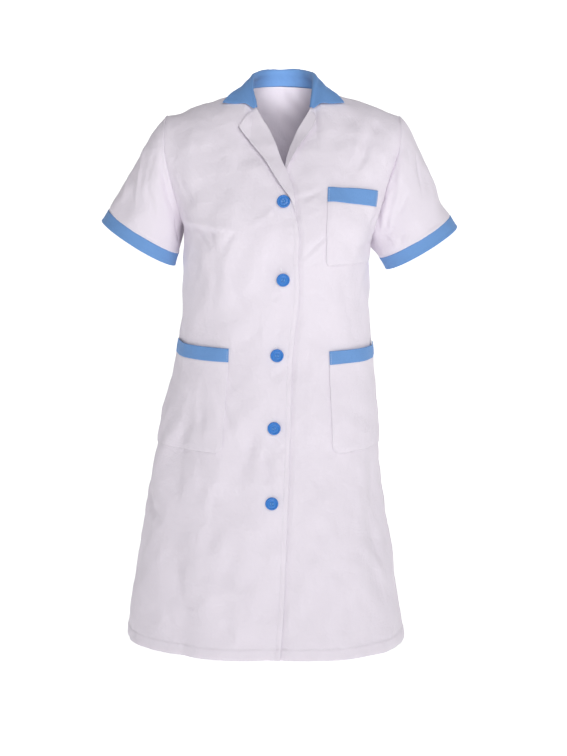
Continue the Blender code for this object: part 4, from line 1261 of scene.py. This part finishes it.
def collar_grid():
    """The collar's grid: rows along it from the wearer's right, columns from the seam to the outer edge."""
    knots = np.arange(1 - len(COLLAR_STATIONS), len(COLLAR_STATIONS))
    at = np.linspace(knots[0], knots[-1], COLLAR_LENGTHS + 1)
    lines = [np.concatenate([line[:0:-1] * (-1, 1, 1), line]) for line in collar_stations()]
    seam, roll, edge = (smooth(knots, line, at) for line in lines)
    outward = unit(seam / (NECK_HALF_WIDTH, NECK_BACK[1], np.inf))
    stand = np.linalg.norm(roll - seam, axis=1, keepdims=True)
    radius = np.minimum(COLLAR_FOLD * MM, FOLD_MOST * stand)
    below = np.array([0, 0, -1]) * radius
    clear = COLLAR_CLEAR * MM * (1 - CLEAR_LOSS * (at / knots[-1]) ** 6)
    control = seam + outward * COLLAR_SPREAD * MM + np.outer(clear, (0, 0, 1))
    fall = [(1 - t) ** 2 * roll + 2 * t * (1 - t) * control + t**2 * edge for t in FALL_AT]
    fall[0] = fall[0] + outward * radius
    hollow = (seam + roll) / 2 - outward * COLLAR_BOW * MM
    inside, outside = roll + below - outward * radius, roll + below + outward * radius
    section = np.stack([seam, hollow, inside, roll, outside, *fall, edge], 1)
    share = np.linspace(0, 1, COLLAR_SECTION + 1)
    return np.stack([smooth(distances(line), line, share * distances(line)[-1]) for line in section])


def make_collar():
    """The collar as a padded shell with an edge stitch. Returns its grid."""
    grid = collar_grid()
    left = to_last_column(grid)
    run = distances(grid[:, -1])[:, None] + 0 * left
    ends = np.minimum(run, run[-1] - run)
    near, far = END_STITCHES
    shown = ease((far - left / MM) / (far - near))
    out = 0.7 * stitched(left - COLLAR_STITCH * MM, run, 8.0) + 0.5 * ripple(grid)
    out = out + 0.7 * stitched(ends - COLLAR_STITCH * MM, left, 9.0) * shown
    outer = grid + grid_normals(grid) * out[..., None]
    thing = shell("collar_cloth", outer, COLLAR_WALL, left, run, BLUE)
    stand_for(thing, outer, "collar")
    return outer


COLLAR = make_collar()

# %% Lapels
LAPEL_ROWS = 80
LAPEL_COLUMNS = 30
LAPEL_STITCH = 4.0
NECK_JOIN = 0.2225
# The roll line is averaged over ROLL_SOFT rows up and down, between these parts of its length.
ROLL_SOFT = 5
ROLL_SOFT_PART = (0.1, 0.94)
# The roll is ROLL_START of the way open at a lapel's start and opens over about ROLL_RAMP of its length. The
# lapel stands off fully from STAND_FULL_AT on.
ROLL_START = 0.3
ROLL_RAMP = 0.1
STAND_FULL_AT = 0.42
# A lapel's outer edge as (x, z) from where it starts to its point, how far it stands off, and how wide its
# roll is.
LAPELS = {
    "lapel_right": dict(side=-1, rise=5.0, roll=1.6, edge=[
        (23, -212), (18, -192), (12, -177), (3, -165), (-5, -155), (-17, -138), (-30, -118), (-42, -103),
        (-54, -89), (-64, -77), (-75, -61)]),
    "lapel_left": dict(side=1, rise=5.5, roll=1.7, edge=[
        (-3, -148), (5, -130), (15, -111), (25, -94), (36, -80), (47, -66), (55, -49)]),
}


def line_at(places, share):
    """(share, up) places at shares of the length of a line of them, in metres of cloth."""
    flat = np.stack([places[:, 0] * ROW_SPAN, places[:, 1], 0 * places[:, 0]], -1)
    made = along(flat, share)
    return np.stack([made[:, 0] / ROW_SPAN, made[:, 1]], -1)


def lapel_lines(side, edge, length):
    """(share, up) along a lapel's roll line and along its outer edge, at parts of their length."""
    corners = np.array([place(*spot) for spot in edge])
    knots = np.linspace(0, 1, len(corners))
    outer = line_at(smooth(knots, corners, np.linspace(0, 1, 200)), length)
    up = np.linspace(corners[0, 1], TOP, 80)
    fold = np.stack([front_edge(up, side), up], -1)
    neck = np.linspace(fold[-1, 0], side * NECK_JOIN, 24)[1:]
    fold = line_at(np.concatenate([fold, np.stack([neck, np.full_like(neck, TOP)], -1)]), length)
    near = np.arange(len(length))[:, None] + np.arange(-ROLL_SOFT, ROLL_SOFT + 1)
    softened = fold[np.clip(near, 0, len(length) - 1)].mean(axis=1)
    inner = (length > ROLL_SOFT_PART[0]) & (length < ROLL_SOFT_PART[1])
    return np.where(inner[:, None], softened, fold), outer


def make_lapel(name, side, edge, roll, rise):
    """One lapel from its roll line to its outer edge. Returns its grid, with the roll's columns first."""
    length, across = np.linspace(0, 1, LAPEL_ROWS + 1), np.linspace(0, 1, LAPEL_COLUMNS + 1)[None, :]
    fold, outer = lapel_lines(side, edge, length)
    share = fold[:, :1] + (outer - fold)[:, :1] * across
    up = fold[:, 1:] + (outer - fold)[:, 1:] * across
    length = length[:, None]
    stand = rise * across**1.25 * ease(length / STAND_FULL_AT)
    lift = (roll * ease(ROLL_START + length / ROLL_RAMP) + stand) * MM
    points, normal = front_at(share, up, side)
    flat = points + normal * lift[..., None]
    tangent = unit(flat[:, :1] - flat[:, 2:3])
    height = (lift[:, :1] + CLOTH * MM)[..., None]
    angle = np.radians(np.linspace(-90, 90, 13))[None, 1:-1, None]
    middle = points[:, :1] + normal[:, :1] * (height / 2 - CLOTH * MM)
    bend = middle + height / 2 * (np.sin(angle) * normal[:, :1] + np.cos(angle) * tangent)
    grid = np.concatenate([bend, flat], axis=1)
    left = to_last_column(grid)
    run = distances(grid[:, 0])[:, None] + 0 * left
    if side < 0:
        grid, left = grid[:, ::-1], left[:, ::-1]
    out = 0.7 * stitched(left - LAPEL_STITCH * MM, run, 12.0 + side)
    grid = grid + grid_normals(grid) * out[..., None]
    thing = shell(f"{name}_cloth", grid, CLOTH, left, run, WHITE)
    stand_for(thing, grid, name)
    return grid


LAPEL_GRIDS = {name: make_lapel(name, **lapel) for name, lapel in LAPELS.items()}

# %% [markdown]
# ## Pockets
# A patch pocket is a flat piece stitched on at three sides, with a blue band folded over its mouth. It could
# be shrink-wrapped onto the front, but these grids are made on the front's own relief: close to it at the
# stitched edges, a little fuller in the middle, and open a crack along the mouth.

# %% Pockets and bands
POCKET_BAND = 23.0
# top and low are the inner edge's ends as (x, z), and outer gives the outer edge's ends as shares.
POCKETS = {
    "chest_pocket": dict(
        top=(75, -158), low=(71, -288), outer=(0.815, 0.80), slant=4, corners=(9, 9), gape=1.6),
    "hip_pocket_right": dict(
        top=(-93, -431), low=(-105, -611), outer=(-0.975, -0.975), slant=0, corners=(16, 0), gape=1.5),
    "hip_pocket_left": dict(
        top=(78, -436), low=(84, -613), outer=(0.975, 0.975), slant=0, corners=(16, 0), gape=2.2),
}
BAND_NAMES = {
    "chest_pocket": "chest_pocket_band",
    "hip_pocket_right": "hip_pocket_band_right",
    "hip_pocket_left": "hip_pocket_band_left",
}
POCKET_WALL = 0.9
BAND_WALL = 1.15
POCKET_LIFT = 1.7
# The pocket is POCKET_FULL fuller from FULL_FROM inside its edges, and its mouth gapes down to MOUTH_REACH.
POCKET_FULL = 0.9
FULL_FROM = 12.0
MOUTH_REACH = 38.0
POCKET_STITCH = 2.0
BAND_STITCH = 1.6
POCKET_COLUMNS = 48
EDGE_CROWDING = 0.35
POCKET_ROW_STEP = 3.2
BAND_ROWS = 16
CORNER_ROWS = 13
# What the puckers' distance along is across the bottom, where it only has to differ from place to place.
BOTTOM_RUN = 90.0


def pocket_spots(pocket, rows):
    """(share, up) of a pocket's rows, given as shares of its height downwards, with rounded low corners."""
    side = int(np.sign(pocket["top"][0]))
    top, low = np.array(pocket["top"], float), np.array(pocket["low"], float)
    down = np.linspace(0, 1, 9)
    inner = np.array([place(*(top + (low - top) * v)) for v in down])
    inner = np.stack([np.interp(rows, down, inner[:, i]) for i in (0, 1)], -1)
    outer_up = inner[:, 1] - pocket["slant"] * MM * (1 - rows)
    outer = np.stack([np.interp(rows, (0, 1), pocket["outer"]), outer_up], -1)
    left = (1 - rows) * (top[1] - low[1])
    for edge, radius, inward in zip((inner, outer), pocket["corners"], (side, -side)):
        over = np.clip(radius - left, 0, radius)
        edge[:, 0] += inward * (radius - np.sqrt(radius**2 - over**2)) * MM / ROW_SPAN
    even = np.linspace(0, 1, POCKET_COLUMNS + 1)
    across = (1 - np.cos(np.pi * even)) / 2 * EDGE_CROWDING + even * (1 - EDGE_CROWDING)
    spot = inner[:, None] + (outer - inner)[:, None] * across[:, None]
    return side, spot[..., 0], spot[..., 1], across


def pocket_grid(pocket, rows, extra):
    """A pocket's points: rows downwards turned to go up, with extra as the lift that is only this piece's."""
    side, share, up, across = pocket_spots(pocket, rows)
    height = pocket["top"][1] - pocket["low"][1]
    width = np.abs(share[:, -1:] - share[:, :1]) * ROW_SPAN / MM
    from_side = np.minimum(across, 1 - across) * width
    from_low, from_top = (1 - rows[:, None]) * height, rows[:, None] * height
    near = np.minimum(from_side, from_low)
    mouth = pocket["gape"] * np.exp(-((from_top / MOUTH_REACH) ** 2)) * np.sin(np.pi * across) ** 1.3
    lift = POCKET_LIFT + POCKET_FULL * ease(near / FULL_FROM) + mouth + extra
    run = np.where(from_side < from_low, from_top, across * BOTTOM_RUN)
    lift = lift * MM + 0.6 * stitched((near - POCKET_STITCH) * MM, run * MM, 15.0)
    points, normal = front_at(share, up, side)
    grid = (points + normal * lift[..., None])[::-1]
    length = span(up, side, -1)
    wide, up = (share * length)[::-1], up[::-1]
    return (grid, wide, up) if side > 0 else (grid[:, ::-1], wide[:, ::-1], up[:, ::-1])


def make_pocket(name, pocket):
    """A pocket below its band. Returns both grids."""
    height = pocket["top"][1] - pocket["low"][1]
    band = POCKET_BAND / height
    corner = max(pocket["corners"]) / height
    rows = np.linspace(0, band, BAND_ROWS + 1)
    extra = 0.45 + 0.35 * np.sin(np.pi * rows / band)[:, None] ** 0.6
    band_grid, wide, up = pocket_grid(pocket, rows, extra)
    thing = shell(f"{BAND_NAMES[name]}_cloth", band_grid, BAND_WALL, wide, up, BLUE)
    stand_for(thing, band_grid, BAND_NAMES[name])
    count = int((1 - corner - band) * height / POCKET_ROW_STEP)
    bend = 1 - corner * (1 - np.sin(np.pi / 2 * np.linspace(0, 1, CORNER_ROWS + 1)))
    rows = np.concatenate([np.linspace(band, 1 - corner, count)[:-1], bend])
    grid, wide, up = pocket_grid(pocket, rows, 0.0)
    thing = shell(f"{name}_cloth", grid, POCKET_WALL, wide, up, WHITE)
    stand_for(thing, grid, name)
    return grid, band_grid


POCKET_GRIDS = {name: make_pocket(name, pocket) for name, pocket in POCKETS.items()}

# %% [markdown]
# ## Stitches
# A machine's top stitch is a row of short threads that dip into the cloth at both ends. A texture could draw
# them, but at this size they catch the light, so each is a tiny bead. All of one colour are one mesh.

# %% Stitches
PITCH = 3.0
STITCH_LENGTH = 2.35
THREAD = 0.24
STITCH_SINK = 0.22
# A bead's rings as (place along it, size, height over the cloth), in parts of its length, radius and sink.
BEAD_RINGS = [(-0.5, 0.35, -1.0), (-0.28, 1.0, 0.25), (0.28, 1.0, 0.25), (0.5, 0.35, -1.0)]
BEAD_SIDES = 5
# The front edge's stitches start FIRST_STITCH up. The hem's run from HEM_ENDS of the way to the side seams to
# just inside where the front's edge is at HEM_EDGE_UP.
FIRST_STITCH = 24
HEM_ENDS = 0.995
HEM_EDGE_UP = 20.0
HEM_EDGE_INSIDE = 0.004
FRONT_HEM_POINTS = 500
BACK_HEM_POINTS = 900


def resample(points, normal, pitch):
    """Even places along a polyline, with the direction and normal at each."""
    length = distances(points)
    at = np.arange(pitch, length[-1] - pitch, pitch)
    spot = np.stack([np.interp(at, length, points[:, i]) for i in range(3)], -1)
    facing = unit(np.stack([np.interp(at, length, normal[:, i]) for i in range(3)], -1))
    ahead = np.stack([np.interp(at + pitch / 4, length, points[:, i]) for i in range(3)], -1)
    return spot, unit(ahead - spot), facing


def beads(spot, way, facing, length, radius, sink):
    """Capsules, thin and sunk at both ends and full between. Returns their points and quads."""
    side = unit(np.cross(facing, way))
    place_at, size, high = np.array(BEAD_RINGS).T[:, :, None, None]
    turn = np.arange(BEAD_SIDES) * 2 * np.pi / BEAD_SIDES
    ring = np.cos(turn)[:, None, None] * side + np.sin(turn)[:, None, None] * facing
    middle = spot + place_at * length * way + high * sink * facing
    points = (middle[:, None] + size[..., None] * radius * ring).transpose(2, 0, 1, 3)
    number = np.arange(points[..., 0].size).reshape(points.shape[:3])
    near, far = number[:, :-1], number[:, 1:]
    quads = np.stack([near, np.roll(near, -1, 2), np.roll(far, -1, 2), far], -1).reshape(-1, 4)
    return points.reshape(-1, 3), quads


def thread_rows():
    """The rows of stitches on every piece as (blue or not, points, normals)."""
    rows = []
    up = np.arange(FIRST_STITCH, int(BREAK_UP[-1] / MM)) * MM
    front_hem = np.full(FRONT_HEM_POINTS, HEM_STITCH * MM)
    for side in (-1, 1):
        top = up[up < BREAK_UP[side]]
        share = front_edge(top, side) + side * EDGE_STITCH * MM / span(top, side, -1)
        rows.append((False, *front_at(share, top, side)))
        edge = front_edge(np.array([HEM_EDGE_UP * MM]), side)[0] + side * HEM_EDGE_INSIDE
        share = np.linspace(side * HEM_ENDS, edge, FRONT_HEM_POINTS)
        rows.append((False, *front_at(share, front_hem, side)))
    share = np.linspace(-HEM_ENDS, HEM_ENDS, BACK_HEM_POINTS)
    rows.append((False, *back_at(share, np.full_like(share, HEM_STITCH * MM))))
    for grid, band in POCKET_GRIDS.values():
        low_edge, low_normal = inset_column(grid.transpose(1, 0, 2)[:, ::-1], POCKET_STITCH)
        rows += side_rows(grid, False, POCKET_STITCH)
        rows.append((False, low_edge[3:-3], low_normal[3:-3]))
        rows += side_rows(band.transpose(1, 0, 2), True, BAND_STITCH, -1)
        rows += side_rows(band, False, POCKET_STITCH)
    for band in CUFF_BANDS.values():
        closed = [np.concatenate([a, a[:, :1]], axis=1) for a in (band, grid_normals(band, ring=True))]
        rows += [(True, closed[0][i], closed[1][i]) for i in (1, CUFF_ROWS - 1)]
    rows.append((True, *inset_column(COLLAR, COLLAR_STITCH)))
    for name, grid in LAPEL_GRIDS.items():
        flip = LAPELS[name]["side"]
        rows.append((False, *inset_column(grid[:, ::flip], LAPEL_STITCH, flip)))
    return rows


def inset_column(grid, inset, flip=1):
    """The line a distance in from a grid's last column, with its normals. flip -1 turns them round."""
    left = to_last_column(grid) / MM
    column = np.maximum(np.argmax(left < inset, axis=1) - 1, 0)
    row = np.arange(len(grid))
    near, far = left[row, column], left[row, column + 1]
    t = np.clip((near - inset) / np.maximum(near - far, 1e-9), 0, 1)[:, None]
    normal = grid_normals(grid) * flip
    return [a[row, column] * (1 - t) + a[row, column + 1] * t for a in (grid, normal)]


def side_rows(grid, blue, inset, flip=1):
    """A row of stitches inside the last column of a grid, and one inside the first."""
    return [(blue, *inset_column(grid, inset, flip)), (blue, *inset_column(grid[:, ::-1], inset, -flip))]


def make_stitches():
    """All the stitches, one mesh for each colour of thread."""
    found = thread_rows()
    for name, blue, material, slot in (("white_stitches", False, WHITE_THREAD, "white_cloth"),
                                       ("blue_stitches", True, BLUE_THREAD, "blue_cloth")):
        parts = [resample(points, normal, PITCH * MM) for is_blue, points, normal in found if is_blue == blue]
        spot, way, facing = (np.concatenate(group) for group in zip(*parts))
        points, quads = beads(spot, way, facing, STITCH_LENGTH * MM, THREAD * MM, STITCH_SINK * MM)
        new_mesh(name, points, quads, points[:, [0, 2]], material)
        print(f"{name}: {len(spot)} stitches")


make_stitches()

# %% [markdown]
# ## Buttons and buttonholes
# The buttons are moulded, with a raised rim, a valley inside it, a low dome and four holes. The holes could
# be cut with booleans, which leave ragged faces. As a height over a disc, a button is one clean grid with
# four deep dimples, and thread runs between them. A worked buttonhole is a bar of close stitches with a slit,
# and its ends show above and below each button.

# %% Buttons
BUTTON_RADIUS = 11.25
BUTTON_GAP = 0.9
BUTTON_SIDES = 96
BUTTON_TURNS = (8, -14, 5, 20, -6)
FACE_HEIGHT = 2.45
RIM = dict(at=9.6, width=1.15, height=0.85)
VALLEY = dict(at=7.4, width=0.9, depth=0.35)
ROUND_FROM = 10.3
ROUND_DEPTH = 1.3
HOLE_SPREAD = 2.0
HOLE_RADIUS = 0.95
HOLE_DEPTH = 1.5
# The back of the button, as (radius, height), from its rim to its middle.
UNDER = [(BUTTON_RADIUS, 1.0), (10.9, 0.3), (9.5, 0.0), (5.0, 0.0), (0.05, 0.0)]
# Three threads lie side by side, this far apart, between the holes of each side.
SEWN_APART = 0.32
SEWN_LENGTH = 2 * HOLE_SPREAD + 1.0
SEWN_SINK = 0.28


def button_height(x, y):
    """Height of the button's face in millimetres: rim, valley, dome and four holes."""
    radius = np.hypot(x, y)
    rim = RIM["height"] * np.exp(-(((radius - RIM["at"]) / RIM["width"]) ** 4))
    valley = VALLEY["depth"] * np.exp(-(((radius - VALLEY["at"]) / VALLEY["width"]) ** 2))
    round_edge = ROUND_DEPTH * np.clip((radius - ROUND_FROM) / (BUTTON_RADIUS - ROUND_FROM), 0, 1) ** 2.2
    dome = 0.25 * np.exp(-((radius / 5.5) ** 4)) - 0.45 * np.exp(-((radius / 3.6) ** 4))
    height = FACE_HEIGHT + rim - valley + dome - round_edge
    for sx in (-1, 1):
        for sy in (-1, 1):
            off = np.hypot(x - sx * HOLE_SPREAD, y - sy * HOLE_SPREAD)
            height = height - HOLE_DEPTH * np.exp(-((off / HOLE_RADIUS) ** 6))
    return height


def button_grid():
    """A button as one grid: rings from the face's middle, over the rim and under to the back's middle."""
    turn = np.arange(BUTTON_SIDES) * 2 * np.pi / BUTTON_SIDES
    face = np.concatenate([np.linspace(0.05, 4.2, 24), np.linspace(4.4, BUTTON_RADIUS, 34)])
    under, under_z = np.array(UNDER).T
    radius = np.concatenate([face, under])
    x, y = np.outer(radius, np.cos(turn)), np.outer(radius, np.sin(turn))
    z = button_height(x, y)
    z[len(face) :] = under_z[:, None]
    return np.stack([x, y, z], -1) * MM


def button_spots():
    """Each button's place, its normal and its two other axes."""
    spots = []
    for z in BUTTON_HEIGHTS:
        share, up = (np.array([value]) for value in place(np.interp(z, ROWS["z_f"], ROWS["x_c"]), z))
        point, normal = front_at(share, up, -1)
        up_axis = unit(np.array([0, 0, 1]) - normal[0] * normal[0][2])
        spots.append((share[0], up[0], point[0], normal[0], np.cross(up_axis, normal[0]), up_axis))
    return spots


def make_buttons():
    """The five buttons, each with its thread."""
    grid = button_grid()
    number = np.arange(grid[..., 0].size).reshape(grid.shape[:2])
    quads = grid_quads(number, ring=True)
    sewn = []
    for i, (_, _, point, normal, right, upward) in enumerate(button_spots(), 1):
        angle = np.radians(BUTTON_TURNS[i - 1])
        east = right * np.cos(angle) + upward * np.sin(angle)
        north = upward * np.cos(angle) - right * np.sin(angle)
        base = point + normal * BUTTON_GAP * MM
        placed = (base + grid @ np.stack([east, north, normal])).reshape(-1, 3)
        uv = grid[..., :2].reshape(-1, 2)
        thing = new_mesh(f"button_{i}_moulded", placed, quads, uv, BUTTON)
        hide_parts(f"button_{i}")
        across = np.array([sx * HOLE_SPREAD + k * SEWN_APART for sx in (-1, 1) for k in (-1, 0, 1)]) * MM
        spot = base + across[:, None] * east + normal * FACE_HEIGHT * MM
        sewn.append((spot, np.broadcast_to(north, spot.shape), np.broadcast_to(normal, spot.shape)))
    parts = [np.concatenate(group) for group in zip(*sewn)]
    points, quads = beads(*parts, SEWN_LENGTH * MM, THREAD * MM, SEWN_SINK * MM)
    new_mesh("button_threads", points, quads, points[:, [0, 2]], BLUE_THREAD)
    print("buttons:", len(sewn), "of", len(quads), "thread faces")


make_buttons()

# %% Buttonholes
HOLE_LENGTH = 27.0
HOLE_WIDTH = 3.0
HOLE_RAISE = 0.55
HOLE_LEAN = 14.0
# The hole's middle is above the button's, it sinks a little into the cloth, and its slit is narrow. Its
# stitches lie THREADS_APART.
HOLE_ABOVE = 4.5
HOLE_SINK = 0.15
SLIT_HALF_WIDTH = 0.16
SLIT_HALF_LENGTH = 0.86
THREADS_APART = 0.55


def make_buttonholes():
    """Five buttonholes: a bar of close stitches with a slit, leaning a little, from a height over a grid."""
    v, u = np.meshgrid(np.linspace(-1, 1, 141), np.linspace(-1, 1, 25), indexing="ij")
    end = np.clip(1 - (1 - np.abs(v)) * HOLE_LENGTH / HOLE_WIDTH, 0, 1)
    half = HOLE_WIDTH / 2 * np.sqrt(np.clip(1 - end**2, 0.02, 1))
    slit = 1.2 * np.exp(-((u / SLIT_HALF_WIDTH) ** 2)) * (np.abs(v) < SLIT_HALF_LENGTH)
    threads = 0.05 * np.sin(v * HOLE_LENGTH / THREADS_APART * np.pi) * (1 - u**2)
    height = (HOLE_RAISE * np.clip(1 - u**4, 0, 1) * (1 - slit) + threads - HOLE_SINK) * MM
    lean = np.radians(HOLE_LEAN)
    points, quads, used = [], [], 0
    for share, up, *_ in button_spots():
        x, y = u * half, v * HOLE_LENGTH / 2 + HOLE_ABOVE
        x, y = x * np.cos(lean) - y * np.sin(lean), x * np.sin(lean) + y * np.cos(lean)
        spot_share = share + x * MM / span(np.array([up]), -1, -1)[0]
        lying, facing = front_at(spot_share, up + y * MM, -1)
        grid = lying + facing * height[..., None]
        number = np.arange(u.size).reshape(u.shape) + used
        points.append(grid.reshape(-1, 3))
        quads.append(grid_quads(number))
        used += u.size
    points = np.concatenate(points)
    new_mesh("buttonholes", points, np.concatenate(quads), points[:, [0, 2]], WHITE_THREAD)
    print("buttonholes:", used, "points")


make_buttonholes()

# %% [markdown]
# ## Studio
# The coat is shown on plain white, hanging from a wearer who isn't there. It could stand against a white
# world, but then nothing would bounce light back. So a white sweep stands well below and behind it. A large
# soft light in front, to the wearer's left, gives the form, a weaker one straight ahead softens the folds, a
# narrow spot reaches inside the neck, and a pale surround fills in from below.

# %% Stage, lights and camera
# All in metres. The sweep is level to SWEEP_BEND short of SWEEP_BACK, then bends up.
FLOOR = -2.0
SWEEP_BACK = 8.5
SWEEP_BEND = 1.6
SWEEP_TOP = 8.0
SWEEP_FAR = 40.0


def make_sweep():
    """Floor and backdrop in one: level, then a quarter circle, then upright, with room behind the coat."""
    bend = np.linspace(0, np.pi / 2, 40)
    rise = FLOOR + SWEEP_BEND * (1 - np.cos(bend))
    y = np.concatenate([[-SWEEP_FAR, -3, 0, 3.5], SWEEP_BACK - SWEEP_BEND * (1 - np.sin(bend)), [SWEEP_BACK]])
    z = np.concatenate([[FLOOR] * 4, rise, [SWEEP_TOP]])
    x = np.linspace(-SWEEP_FAR, SWEEP_FAR, 13)
    grid = np.stack(np.broadcast_arrays(x, y[:, None], z[:, None]), -1)
    number = np.arange(grid[..., 0].size).reshape(grid.shape[:2])
    mesh = bpy.data.meshes.new("studio_sweep")
    mesh.from_pydata(grid.reshape(-1, 3).tolist(), [], grid_quads(number).tolist())
    mesh.shade_smooth()
    glow = dict(Emission_Color=(1, 1, 1, 1), Emission_Strength=0.67)
    mesh.materials.append(plain_material("studio_white", (0.9, 0.9, 0.9), 0.95, **glow))
    sweep = bpy.data.objects.new("studio_sweep", mesh)
    bpy.context.scene.collection.objects.link(sweep)


def area_light(name, place_at, aim, size, power):
    """A square area light aimed at a point."""
    light = bpy.data.lights.new(name, "AREA")
    light.shape, light.size, light.energy = "SQUARE", size, power
    return aimed(name, light, place_at, aim)


def aimed(name, light, place_at, aim):
    """A lamp at a place, turned to face a point."""
    lamp = bpy.data.objects.new(name, light)
    lamp.location = place_at
    lamp.rotation_euler = (Vector(aim) - lamp.location).to_track_quat("-Z", "Y").to_euler()
    bpy.context.scene.collection.objects.link(lamp)
    return lamp


def spot_light(name, place_at, aim, angle, power):
    """A snooted spot with a soft edge; angle is its whole cone in degrees."""
    light = bpy.data.lights.new(name, "SPOT")
    light.spot_size, light.spot_blend = np.radians(angle), 1.0
    light.energy, light.shadow_soft_size = power, 0.02
    return aimed(name, light, place_at, aim)


make_sweep()
area_light("key", (0.9, -2.3, 1.25), (0, 0, -0.15), 1.7, 34)
area_light("front", (0.0, -3.6, 0.5), (0, 0, -0.2), 2.2, 20)
spot_light("neck", (0.0, -3.0, 0.45), (0, 0.07, 0.006), 1.95, 215)

# The surround is strongest level and below, and fades with the height (0 to 1) of the direction looked in.
SURROUND_FADE = {"From Min": 0.0, "From Max": 0.9, "To Min": 0.44, "To Max": 0.08}
world = bpy.data.worlds.new("pale_surround")
bpy.context.scene.world = world
world.use_nodes = True
nodes, links = world.node_tree.nodes, world.node_tree.links
direction, split, fade = (nodes.new(f"ShaderNode{kind}") for kind in ("TexCoord", "SeparateXYZ", "MapRange"))
for socket, value in SURROUND_FADE.items():
    fade.inputs[socket].default_value = value
links.new(direction.outputs["Generated"], split.inputs[0])
links.new(split.outputs["Z"], fade.inputs["Value"])
links.new(fade.outputs[0], nodes["Background"].inputs["Strength"])
nodes["Background"].inputs["Color"].default_value = (1, 1, 1, 1)
camera = bpy.data.objects.new("camera", bpy.data.cameras.new("camera"))
camera.data.lens = 93.1
camera.data.sensor_width = 36
camera.location = (0, -3.4, 0.12)
camera.rotation_euler = (np.radians(79.6), 0, 0)
bpy.context.scene.collection.objects.link(camera)
bpy.context.scene.camera = camera
bpy.context.scene.view_settings.view_transform = "Standard"
print("stage and camera are set")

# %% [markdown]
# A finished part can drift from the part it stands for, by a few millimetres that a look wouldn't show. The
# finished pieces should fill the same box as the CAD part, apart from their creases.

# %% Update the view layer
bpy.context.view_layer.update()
